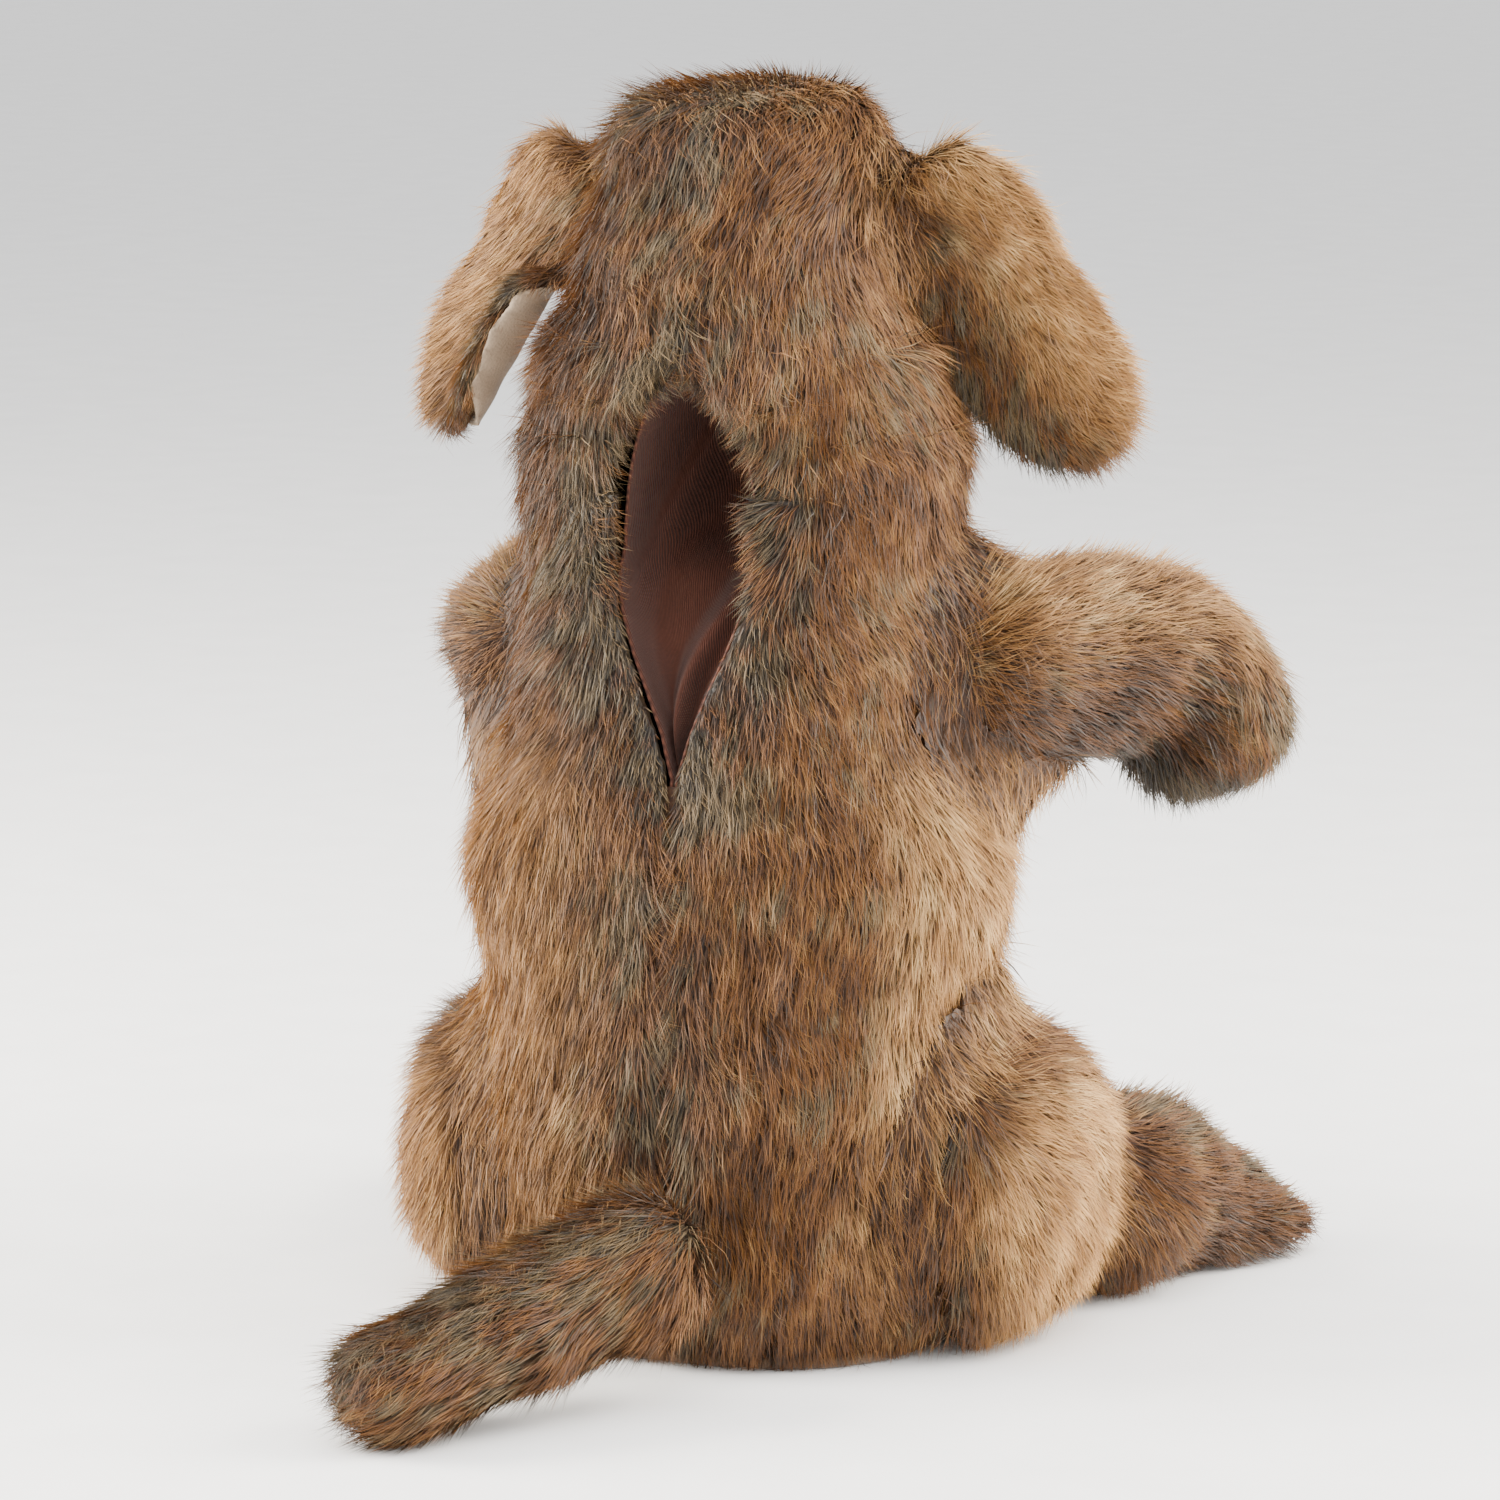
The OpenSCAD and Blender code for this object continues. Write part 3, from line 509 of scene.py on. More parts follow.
def pile_tree(name, density, length, lift, lock_size, seed):
    """The tree that plants blades on a cover: density is in blades per square metre."""
    tree = bpy.data.node_groups.new(name, "GeometryNodeTree")
    tree.interface.new_socket("Cover", in_out="INPUT", socket_type="NodeSocketGeometry")
    tree.interface.new_socket("Fur", in_out="OUTPUT", socket_type="NodeSocketGeometry")
    cover = tree.nodes.new("NodeGroupInput").outputs["Cover"]
    out = tree.nodes.new("NodeGroupOutput")

    def attribute(label, kind="FLOAT"):
        return add_node(tree, "GeometryNodeInputNamedAttribute", {"Name": label}, data_type=kind).outputs[0]

    grows = math_node(tree, "MULTIPLY", math_node(tree, "GREATER_THAN", attribute("pile"), 0.02), density)
    scatter = add_node(tree, "GeometryNodeDistributePointsOnFaces",
                       {"Mesh": cover, "Density": grows, "Seed": seed}, distribute_method="RANDOM")
    place = tree.nodes.new("GeometryNodeInputPosition").outputs[0]
    dice = add_node(tree, "ShaderNodeTexWhiteNoise",
                    {"Vector": vector_math(tree, "SCALE", place, scale=DICE_STEP)}, noise_dimensions="3D")
    parts = add_node(tree, "ShaderNodeSeparateXYZ", {0: dice.outputs["Color"]}).outputs
    locks = add_node(tree, "ShaderNodeTexVoronoi",
                     {"Vector": place, "Scale": 1 / lock_size, "Randomness": 1.0})
    swirl = add_node(tree, "ShaderNodeTexNoise", {"Vector": place, "Scale": 38.0, "Detail": 2.0})
    middle = (0.5, 0.5, 0.5)
    swirl = vector_math(tree, "SUBTRACT", swirl.outputs["Color"], middle)
    swirl = vector_math(tree, "SCALE", swirl, scale=1.5)
    stray = vector_math(tree, "SUBTRACT", dice.outputs["Color"], middle)
    stray = vector_math(tree, "SCALE", stray, scale=0.42)
    gather = vector_math(tree, "SCALE", vector_math(tree, "SUBTRACT", locks.outputs["Position"], place),
                         scale=0.5 / length)
    normal = scatter.outputs["Normal"]
    lean = vector_math(tree, "ADD", vector_math(tree, "SCALE", normal, scale=lift),
                       attribute("comb", "FLOAT_VECTOR"))
    for push in (swirl, stray, gather):
        lean = vector_math(tree, "ADD", lean, push)
    # a blade never grows back into its cover
    rise = add_node(tree, "ShaderNodeVectorMath", {0: lean, 1: normal}, operation="DOT_PRODUCT")
    sunk = math_node(tree, "SUBTRACT", LEAST_RISE, rise.outputs["Value"])
    lift_out = vector_math(tree, "SCALE", normal, scale=math_node(tree, "MAXIMUM", sunk, 0.0))
    lean = vector_math(tree, "ADD", lean, lift_out)
    stand = add_node(tree, "FunctionNodeAlignRotationToVector", {"Vector": lean}, axis="Z")
    turned = add_node(tree, "FunctionNodeAlignRotationToVector",
                      {"Rotation": stand.outputs[0], "Vector": vector_math(tree, "SUBTRACT", lean, normal)},
                      axis="X", pivot_axis="Z")
    angle = math_node(tree, "MULTIPLY", math_node(tree, "SUBTRACT", parts["Z"], 0.5), SPIN_RANGE)
    spin = add_node(tree, "FunctionNodeAxisAngleToRotation", {"Axis": (0, 0, 1), "Angle": angle})
    spun = add_node(tree, "FunctionNodeRotateRotation",
                    {"Rotation": turned.outputs[0], "Rotate By": spin.outputs[0]}, rotation_space="LOCAL")
    size = math_node(tree, "ADD", math_node(tree, "MULTIPLY", parts["X"], SPREAD_OF_LENGTH), SHORTEST)
    size = math_node(tree, "MULTIPLY", size, math_node(tree, "MULTIPLY", attribute("pile"), length))
    thick = math_node(tree, "ADD", math_node(tree, "MULTIPLY", parts["Y"], SPREAD_OF_WIDTH), THINNEST)
    thick = math_node(tree, "MULTIPLY", thick, BLADE_SCALE)
    scale = add_node(tree, "ShaderNodeCombineXYZ", {"X": size, "Y": thick, "Z": size})
    blades = add_node(tree, "GeometryNodeCollectionInfo",
                      {"Collection": BLADES, "Separate Children": True, "Reset Children": True})
    choice = math_node(tree, "FLOOR", math_node(tree, "MULTIPLY", parts["Y"], float(len(BLADE_SHAPES))))
    # the numbers of each blade and of its lock go with it
    lock_number = add_node(tree, "ShaderNodeSeparateXYZ", {0: locks.outputs["Color"]}).outputs["X"]
    roots = scatter.outputs["Points"]
    for label, value in (("strand", parts["Z"]), ("lock", lock_number)):
        roots = add_node(tree, "GeometryNodeStoreNamedAttribute",
                         {"Geometry": roots, "Name": label, "Value": value},
                         data_type="FLOAT", domain="POINT").outputs[0]
    planted = add_node(tree, "GeometryNodeInstanceOnPoints", {
        "Points": roots, "Instance": blades.outputs[0], "Pick Instance": True,
        "Instance Index": choice, "Rotation": spun.outputs[0], "Scale": scale.outputs[0]})
    real = add_node(tree, "GeometryNodeRealizeInstances", {0: planted.outputs[0]})
    both = tree.nodes.new("GeometryNodeJoinGeometry")
    for mesh, finish in ((real.outputs[0], PILE_FINISH), (cover, BACKING_FINISH)):
        done = add_node(tree, "GeometryNodeSetMaterial", {"Geometry": mesh, "Material": finish})
        tree.links.new(done.outputs[0], both.inputs[0])
    tree.links.new(both.outputs[0], out.inputs[0])
    return tree


def set_plan(obj, comb, pile, grey, gold_tint_and_highlight):
    """Writes the plan of the pile on a cover: four functions of a place and its normal."""
    mesh = obj.data
    lists = {"pile": [], "grey": [], "gold_tint_and_highlight": []}
    combs = []
    for v in mesh.vertices:
        p, n = v.co, v.normal
        lie = comb(p, n)
        lie = lie - n * lie.dot(n)
        combs += list(lie.normalized() if lie.length > 1e-6 else Vector())
        for label, rule in (("pile", pile), ("grey", grey), ("gold_tint_and_highlight", gold_tint_and_highlight)):
            lists[label].append(float(rule(p, n)))
    mesh.attributes.new("comb", "FLOAT_VECTOR", "POINT").data.foreach_set("vector", combs)
    for label, values in lists.items():
        mesh.attributes.new(label, "FLOAT", "POINT").data.foreach_set("value", values)


def grown_area(obj):
    values = [d.value for d in obj.data.attributes["pile"].data]
    return sum(f.area for f in obj.data.polygons if sum(values[i] for i in f.vertices) > 0.05)


def plant(obj, faces, length, lift=0.42, lock_size=5 * MM, seed=1, floor=True):
    """Grows pile on a cover until the two together have about that many triangles, and joins them."""
    density = (faces - triangles(obj)) / FACES_PER_BLADE / grown_area(obj)
    modifier = obj.modifiers.new("pile", "NODES")
    modifier.node_group = pile_tree(obj.name + "_pile", density, length, lift, lock_size, seed)
    apply_modifiers(obj)
    if floor:
        lowest = 0.2 * MM
        for v in obj.data.vertices:
            v.co.z = max(v.co.z, lowest)
    print(obj.name, triangles(obj), "triangles,", round(density / 1e6, 2), "blades per mm2")
    return obj

# %% [markdown]
# ## Body panels
#
# Four panels make the body, with a seam down each side and one down the belly. The pile hangs down
# from the shoulders. Beside the slit it turns in over the edge, and the spine and the slit's edges
# are darker and greyer.

# %% Plan of the body's pile
FUR_LENGTH = 14 * MM


def outward(p):
    return Vector((p.x, p.y * 1.1, 0)).normalized()


def hanging(p, n):
    """Down, turning in over the slit's edge, away from the spine, and over the seam along it."""
    lie = DOWN.copy()
    near = smoothstep(16 * MM, 2 * MM, slit_distance(p))
    side = -1 if p.x > 0 else 1
    low_end = smoothstep(SLIT_BOTTOM + 55 * MM, SLIT_BOTTOM + 25 * MM, p.z)
    lie += Vector((side, 0, 0)) * (mix(1.1, -0.1, low_end) * near)
    if p.y > 0:
        below_slit = smoothstep(SLIT_BOTTOM + 10 * MM, SLIT_BOTTOM - 50 * MM, p.z)
        spread = smoothstep(40 * MM, 6 * MM, abs(p.x)) * below_slit
        lie += Vector((-side, 0, 0)) * (0.12 * spread * smoothstep(2 * MM, 14 * MM, abs(p.x)))
        over_seam = 0.35 * smoothstep(9 * MM, 2 * MM, abs(p.x))
        over_seam *= smoothstep(SLIT_BOTTOM, SLIT_BOTTOM - 8 * MM, p.z)
        lie += Vector((side, 0, 0)) * over_seam
    return lie


def body_pile(p, n):
    if n.dot(outward(p)) < 0.12:
        return 0.0
    near = smoothstep(1 * MM, 16 * MM, slit_distance(p))
    low_end = smoothstep(SLIT_BOTTOM + 55 * MM, SLIT_BOTTOM + 25 * MM, p.z)
    return mix(mix(0.55, 0.28, low_end), 1.0, near)


def body_grey(p, n):
    band = smoothstep(26 * MM, 8 * MM, slit_distance(p)) if p.z > SLIT_BOTTOM - 8 * MM else 0.0
    spine = smoothstep(20 * MM, 2 * MM, abs(p.x)) * 0.35 if p.y > 0 else 0.0
    return max(band * 0.6, spine)


def lit_side(sign):
    """The way the sides with the painted highlight face: straight out on the right, a little to the back on
    the left.
    """
    return Vector((0.86, 0.51, 0)) if sign > 0 else Vector((-1, 0, 0))


def body_painted_highlight(p, n):
    """Painted highlight on the cloth's sides, where the side lights catch the pile."""
    sides = smoothstep(0.55, 0.95, n.dot(lit_side(math.copysign(1, p.x))))
    sides *= smoothstep(15 * MM, 40 * MM, p.z)
    sides *= smoothstep(185 * MM, 140 * MM, p.z)
    return 0.75 * sides


# %% Body panels
for number, node in enumerate(BACK_PANELS + BELLY_PANELS):
    panel = cover_from(node.replace("panel", "fur"), [node], voxel=2.2 * MM, inset=0.6 * MM, rounds=2)
    plush_lumps(panel)
    set_plan(panel, hanging, body_pile, body_grey, body_painted_highlight)
    plant(panel, 188000 if node in BACK_PANELS else 86000, FUR_LENGTH, seed=number + 1)
    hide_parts(node)
    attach(panel, "torso")


# %% [markdown]
# ## Neck ruff
#
# On the real puppet the body and the head are one tube of fur with a fold where the neck turns. The
# packed ball neck stands for that fold. Two rings of cloth are lofted over it from the body's collar
# to the head's rim, a little fuller than the ball, as loose cloth gathers there. Each ring crosses
# one joint only. Neither is attached to a body, so both stay in place when the head moves.

# %% Neck ruff
NECK_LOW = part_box("neck_cover")[0].z
HEAD_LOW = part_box("head_cover")[0].z
BODY_SHELL = tree_of(BACK_PANELS + BELLY_PANELS)
HEAD_SHELL = tree_of(["head_cover"])
FAR = 0.3


def outline_at(tree, z):
    """(half width, front, back) of a shell at a height, by rays from outside."""
    hits = [tree.ray_cast(Vector((FAR, y, z)), Vector((-1, 0, 0)))[0]
            for y in (0.0, -8 * MM, -40 * MM, -45 * MM)]
    side = max(hits[:3], key=lambda hit: hit.x if hit else 0.0) or hits[3]
    front = tree.ray_cast(Vector((0.002, -FAR, z)), Vector((0, 1, 0)))[0]
    back = tree.ray_cast(Vector((side.x * 0.5, FAR, z)), Vector((0, -1, 0)))[0]
    return side.x, front.y, back.y


COLLAR = outline_at(BODY_SHELL, NECK_LOW - 3 * MM)
HEAD_RIM = outline_at(HEAD_SHELL, HEAD_LOW + 9 * MM)
RUFF_LOW, RUFF_HIGH, RUFF_SPLIT = NECK_LOW - 24 * MM, HEAD_LOW + 13 * MM, NECK_LOW + 11 * MM
RUFF_FULLNESS = 7 * MM
OVAL_POWER = 2.3
print("collar", [round(v, 4) for v in COLLAR], "head rim", [round(v, 4) for v in HEAD_RIM])


def ruff_point(u, z):
    """A point of the ruff: u runs from the slit's one edge round the throat to the other."""
    t = smoothstep(RUFF_LOW, RUFF_HIGH, z)
    half, front, back = (mix(a, b, t) for a, b in zip(COLLAR, HEAD_RIM))
    body = outline_at(BODY_SHELL, z) if z < NECK_LOW - 4 * MM else None
    if body:
        t = smoothstep(RUFF_LOW, NECK_LOW - 4 * MM, z)
        half, front = mix(body[0], half, t), mix(body[1], front, t)
    risen = min(1.0, max(0.0, (z - RUFF_LOW) / (RUFF_HIGH - RUFF_LOW)))
    full = RUFF_FULLNESS * math.sin(math.pi * risen) ** 0.8
    full += 0.2 * MM
    gap = math.asin(min(1.0, slit_half(z) / half))
    angle = mix(math.pi / 2 + gap, math.pi / 2 + TAU - gap, u)
    c, s = math.cos(angle), math.sin(angle)
    throat = max(0.0, -s)
    depth = (back - front) / 2
    centre = (back + front) / 2
    x = math.copysign(abs(c) ** (2 / OVAL_POWER), c) * (half + full)
    y = math.copysign(abs(s) ** (2 / OVAL_POWER), s) * (depth + full * throat * 1.4 + 0.2 * MM)
    return Vector((x, centre + y, z))


def make_ruff(name, low, high):
    bm = bmesh.new()
    bmesh.ops.create_grid(bm, x_segments=90, y_segments=12, size=0.5)
    for v in bm.verts:
        v.co = ruff_point(v.co.x + 0.5, mix(low, high, v.co.y + 0.5))
    bmesh.ops.recalc_face_normals(bm, faces=bm.faces)
    outside = sum(f.normal.dot(outward(f.calc_center_median())) for f in bm.faces)
    if outside < 0:
        bmesh.ops.reverse_faces(bm, faces=bm.faces)
    bmesh.ops.solidify(bm, geom=bm.faces, thickness=2 * MM)
    bmesh.ops.recalc_face_normals(bm, faces=bm.faces)
    return object_from(bm, name)


for number, (name, low, high, bodies, start, end) in enumerate((
        ("neck_ruff_lower", RUFF_LOW, RUFF_SPLIT + 1 * MM, ("torso", "neck"), NECK_LOW - 6 * MM, RUFF_SPLIT),
        ("neck_ruff_upper", RUFF_SPLIT, RUFF_HIGH, ("neck", "head"), RUFF_SPLIT, HEAD_LOW + 10 * MM))):
    ruff = make_ruff(name, low, high)
    plush_lumps(ruff, 0.8 * MM)
    set_plan(ruff, hanging, body_pile, body_grey, lambda p, n: 0.0)
    plant(ruff, 84000, FUR_LENGTH, lift=0.45, seed=20 + number)
    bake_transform(ruff)
    if number == 0:
        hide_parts("neck_cover")

# %% [markdown]
# ## Head
#
# The head's pile starts at the brow and runs back over the crown and down, so it parts round the
# ears. It is shorter round the eyes, which would drown in full pile.

# %% Head
HEAD_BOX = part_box("head_cover")
BROW = Vector((0, HEAD_BOX[0].y + 12 * MM, HEAD_BOX[1].z - 12 * MM))
HEAD_MIDDLE = (HEAD_BOX[0] + HEAD_BOX[1]) / 2
EYES = [sum(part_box("eye_" + side), Vector()) / 2 for side in ("left", "right")]
EYE_RADIUS = (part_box("eye_left")[1].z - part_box("eye_left")[0].z) / 2
EYE_FRONTS = [Vector((e.x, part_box("eye_left")[0].y + EYE_RADIUS, e.z)) for e in EYES]


def eye_distance(p):
    return min((p - e).length for e in EYE_FRONTS) - EYE_RADIUS


def head_comb(p, n):
    lie = (p - BROW).normalized() + DOWN * smoothstep(HEAD_BOX[1].z + 6 * MM, HEAD_BOX[0].z, p.z) * 1.2
    aside = smoothstep(14 * MM, 3 * MM, slit_distance(p))
    return lie + Vector((math.copysign(1.1, p.x), 0, 0)) * aside


def head_pile(p, n):
    if n.dot((p - HEAD_MIDDLE).normalized()) < 0.15:
        return 0.0
    face = smoothstep(HEAD_BOX[0].y + 34 * MM, HEAD_BOX[0].y + 14 * MM, p.y)
    length = mix(1.0, 0.62, face) * mix(0.5, 1.0, smoothstep(1 * MM, 12 * MM, slit_distance(p)))
    return length * mix(0.3, 1.0, smoothstep(0.5 * MM, 12 * MM, eye_distance(p)))


def head_grey(p, n):
    nape = smoothstep(16 * MM, 4 * MM, abs(p.x)) * (0.4 if p.y > 0 else 0.15)
    tuft = smoothstep(22 * MM, 6 * MM, slit_distance(p))
    return max(nape, tuft * 0.6)


def notch_slit(bm):
    """Opens the back rim of the head where the slit runs up into it."""
    inside = [v for v in bm.verts if v.co.y > 0 and abs(v.co.x) < slit_half(v.co.z) + 0.5 * MM]
    bmesh.ops.delete(bm, geom=inside, context="VERTS")


head = cover_from("head_fur", ["head_cover"], voxel=2.4 * MM, inset=-0.8 * MM, rounds=40)
reshape(head, notch_slit)
plush_lumps(head, 1.5 * MM)
set_plan(head, head_comb, head_pile, head_grey, lambda p, n: 0.0)
plant(head, 190000, FUR_LENGTH, lift=0.40, seed=30)
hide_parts("head_cover")
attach(head, "head")

# %% [markdown]
# ## Stuffed parts
#
# The muzzle, the paws, the legs and the tail are bags of loose fibre. Their covers could be smoothed
# by hand, but a short cloth simulation with air pressure inside does what stuffing does: it rounds
# the flats and pulls in beside the seams. How far a point may move is capped, so a part stays the
# size it was packed.

# %% Stuffing


def stuff(obj, cap=2.5 * MM, frames=12, pressure=3.0):
    """Inflates a closed cover a little, as its filling does."""
    before = [v.co.copy() for v in obj.data.vertices]
    cloth = obj.modifiers.new("stuffing", "CLOTH")
    settings = cloth.settings
    settings.quality, settings.mass = 4, 0.3
    settings.use_pressure, settings.uniform_pressure_force = True, pressure
    settings.effector_weights.gravity = 0.0
    scene = bpy.context.scene
    for frame_number in range(1, frames + 1):
        scene.frame_set(frame_number)
    apply_modifiers(obj)
    scene.frame_set(1)
    for v, start in zip(obj.data.vertices, before):
        step = v.co - start
        if step.length > cap:
            v.co = start + step.normalized() * cap
    return obj


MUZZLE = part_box("muzzle_cover")


def muzzle_comb(p, n):
    return Vector((0.35 * math.copysign(1, p.x), 1.0, 0.25 if p.z > MUZZLE[0].z + 0.02 else -0.5))


def muzzle_pile(p, n):
    length = mix(0.34, 0.6, smoothstep(MUZZLE[0].y, MUZZLE[1].y, p.y))
    return length * smoothstep(-1 * MM, 8 * MM, eye_distance(p))


for number, (name, nodes, body, faces, replaced) in enumerate((
        ("muzzle_fur", ["muzzle_cover", "muzzle_filling"], "head", 60000, ("muzzle_cover", "muzzle_filling")),
        ("jaw_fur", ["jaw_cover", "jaw_filling"], "jaw", 36000, ("jaw_cover", "jaw_filling")))):
    part = cover_from(name, nodes, voxel=2.0 * MM, inset=0.6 * MM, rounds=3)
    stuff(part, cap=1.2 * MM)
    set_plan(part, muzzle_comb, muzzle_pile, lambda p, n: -0.2, lambda p, n: 0.35)
    plant(part, faces, FUR_LENGTH, lift=0.35, lock_size=3 * MM, seed=40 + number)
    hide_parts(*replaced)
    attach(part, body)

# %% [markdown]
# ## Front legs
#
# Each front leg is a fur sleeve with a stuffed paw that folds down at its end. The pile runs along
# the sleeve and then down the paw. The paw's underside and the paw past the wrist are darker and
# greyer, painted shade, and the sleeve's top is lighter, a painted highlight.

# %% Front legs


def arm_piece(side, number):
    sleeve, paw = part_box("arm_sleeve_" + side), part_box("paw_cover_" + side)
    sign = 1 if side == "left" else -1
    joint = joint_named(f"arm_{side}_raise")
    shoulder, axis = Vector(joint["pos_m"]), Vector(joint["axis"]).normalized()
    ahead = axis.cross(UP).normalized()
    if ahead.y > 0:
        ahead = -ahead
    paw_middle = (paw[0] + paw[1]) / 2
    wrist_reach = (paw_middle - shoulder).dot(ahead)

    def comb(p, n):
        reach = (p - shoulder).dot(ahead)
        fold = smoothstep(wrist_reach - 14 * MM, wrist_reach + 10 * MM, reach)
        return ahead * (1 - fold) + DOWN * (0.35 + 0.9 * fold)

    def pile(p, n):
        reach = (p - shoulder).dot(ahead)
        middle = shoulder + ahead * min(max(0.0, reach), wrist_reach)
        if reach > wrist_reach - 12 * MM:
            middle = paw_middle
        if (p - shoulder).dot(inward) > radius * 0.6:
            return 0.0
        return 1.0 if n.dot((p - middle).normalized()) > 0.1 else 0.0

    def grey(p, n):
        # painted shade: darker grey under the paw and over the paw that hangs past the wrist
        under = smoothstep(paw[0].z + 22 * MM, paw[0].z + 6 * MM, p.z)
        tip = smoothstep(wrist_reach + 2 * MM, wrist_reach + 20 * MM, (p - shoulder).dot(ahead))
        return max(1.1 * under, 0.8 * tip)

    # painted highlight on the sleeve's top, lit from above
    def gold_tint_and_highlight(p, n):
        return 0.5 * smoothstep(-0.2, 0.8, n.z) * smoothstep(sleeve[0].z, sleeve[1].z, p.z)

    radius = (sleeve[1].z - sleeve[0].z) / 2
    inward = Vector((-sign, 0.25, 0)).normalized()

    def shoulder_cap(bm):
        """The rest of the ball-shaped shoulder, open to the body for a finger."""
        cap = bmesh.new()
        bmesh.ops.create_uvsphere(cap, u_segments=32, v_segments=20, radius=radius - 0.4 * MM)
        hole = [v for v in cap.verts if v.co.normalized().dot(inward) > math.cos(math.radians(30))]
        bmesh.ops.delete(cap, geom=hole, context="VERTS")
        bmesh.ops.solidify(cap, geom=cap.faces, thickness=4 * MM)
        bmesh.ops.recalc_face_normals(cap, faces=cap.faces)
        bmesh.ops.translate(cap, verts=cap.verts, vec=shoulder)
        ball = bpy.data.meshes.new("shoulder_cap")
        cap.to_mesh(ball)
        cap.free()
        bm.from_mesh(ball)
        bpy.data.meshes.remove(ball)

    arm = cover_from("arm_fur_" + side, ["arm_sleeve_" + side, "paw_cover_" + side, "paw_filling_" + side],
                     voxel=2.6 * MM, inset=0.8 * MM, extra=shoulder_cap)
    stuff(arm, cap=2.0 * MM, pressure=1.5)
    plush_lumps(arm)
    set_plan(arm, comb, pile, grey, gold_tint_and_highlight)
    plant(arm, 120000, FUR_LENGTH * 0.9, lift=0.4, seed=50 + number)
    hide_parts("arm_sleeve_" + side, "paw_cover_" + side, "paw_filling_" + side)
    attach(arm, "arm_" + side)


for number, side in enumerate(("left", "right")):
    arm_piece(side, number)

# %% [markdown]
# ## Back legs and tail
#
# The haunches are flat against the body and round outside, with a long soft foot in front. Their
# pile falls forward and down. The tail lies out behind on the floor and is mostly grey.

# %% Back legs
# the wedge of balls between a haunch and its foot: (share of the way to the toes, radius)
INSTEP = ((0.10, 27 * MM), (0.30, 25 * MM), (0.50, 21 * MM), (0.70, 17 * MM), (0.88, 13 * MM))


def leg_piece(side, number):
    nodes = [part + side for part in ("thigh_cover_", "thigh_filling_", "foot_cover_", "foot_filling_")]
    thigh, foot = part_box("thigh_cover_" + side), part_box("foot_cover_" + side)
    sign = 1 if side == "left" else -1
    inner = min(abs(thigh[0].x), abs(thigh[1].x))
    toe = Vector(((foot[0].x if sign < 0 else foot[1].x) - sign * 20 * MM, foot[0].y, 10 * MM))
    ankle = Vector((sign * (inner + 16 * MM), thigh[0].y, 20 * MM))
    out = (toe - ankle).normalized()

    def comb(p, n):
        along_foot = smoothstep(thigh[0].y + 14 * MM, thigh[0].y - 6 * MM, p.y)
        haunch = DOWN + Vector((0, -0.45, 0))
        return haunch * (1 - along_foot) + (out * 1.2 + DOWN * 0.3) * along_foot

    def pile(p, n):
        if abs(p.x) < inner + 2.5 * MM and n.x * sign < -0.5 and p.y > thigh[0].y + 16 * MM:
            return 0.0
        if n.z < -0.6 and p.z < 4 * MM:
            return 0.0
        return mix(1.0, 0.75, smoothstep(thigh[0].y, foot[0].y, p.y))

    def grey(p, n):
        top_of_foot = smoothstep(thigh[0].y + 8 * MM, thigh[0].y - 12 * MM, p.y) * smoothstep(0.0, 0.7, n.z)
        return 0.4 * top_of_foot

    # painted highlight on the haunch's outer side, where a side light catches it
    def gold_tint_and_highlight(p, n):
        rim = smoothstep(0.3, 0.85, n.dot(lit_side(sign))) * smoothstep(thigh[1].z, thigh[1].z * 0.75, p.z)
        return 0.95 * rim * smoothstep(thigh[0].y + 12 * MM, thigh[0].y + 30 * MM, p.y)

    def instep(bm):
        """A soft wedge between the haunch and the foot, where the cloth of one runs into the other."""
        for along, radius in INSTEP:
            middle = ankle.lerp(toe, along)
            middle.z = radius
            add_ball(bm, middle, radius)

    leg = cover_from("leg_fur_" + side, nodes, voxel=3.0 * MM, inset=1.0 * MM, rounds=6, extra=instep)
    stuff(leg)
    plush_lumps(leg, 1.6 * MM)
    set_plan(leg, comb, pile, grey, gold_tint_and_highlight)
    plant(leg, 142000, FUR_LENGTH, lift=0.4, seed=60 + number)
    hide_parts(*nodes)
    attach(leg, "leg_" + side)


for number, side in enumerate(("left", "right")):
    leg_piece(side, number)

# %% Tail
tail_joint = Vector(joint_named("tail_wag")["pos_m"])
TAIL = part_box("tail_cover")
tail_tip = Vector((TAIL[1].x - 14 * MM, TAIL[1].y - 12 * MM, TAIL[0].z + 14 * MM))
tail_way = (tail_tip - tail_joint).normalized()


def tail_pile(p, n):
    along = min(max((p - tail_joint).dot(tail_way), 0.0), (tail_tip - tail_joint).length)
    middle = tail_joint + tail_way * along
    return 1.0 if n.dot((p - middle).normalized()) > 0.0 else 0.0


tail = cover_from("tail_fur", ["tail_cover", "tail_filling"], voxel=2.6 * MM, inset=1.0 * MM)
stuff(tail, cap=1.5 * MM)
plush_lumps(tail)
set_plan(tail, lambda p, n: tail_way + DOWN * 0.15, tail_pile,
         lambda p, n: 0.3, lambda p, n: 0.0)
plant(tail, 84000, FUR_LENGTH, lift=0.45, seed=70)
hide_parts("tail_cover", "tail_filling")
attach(tail, "tail")

# %% [markdown]
# ## Seam tape
#
# Where two panels meet, the real cloth is turned in and stitched, so a seam never shows the filling.
# A strip of the same backing behind the belly seam and the spine seam does that.

# %% Seam tape
TAPE_WIDTH, TAPE_DEPTH = 9 * MM, 3 * MM
SEAM_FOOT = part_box("belly_panel_left")[0].z + 2 * MM
SEAM_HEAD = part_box("belly_panel_left")[1].z - 4 * MM


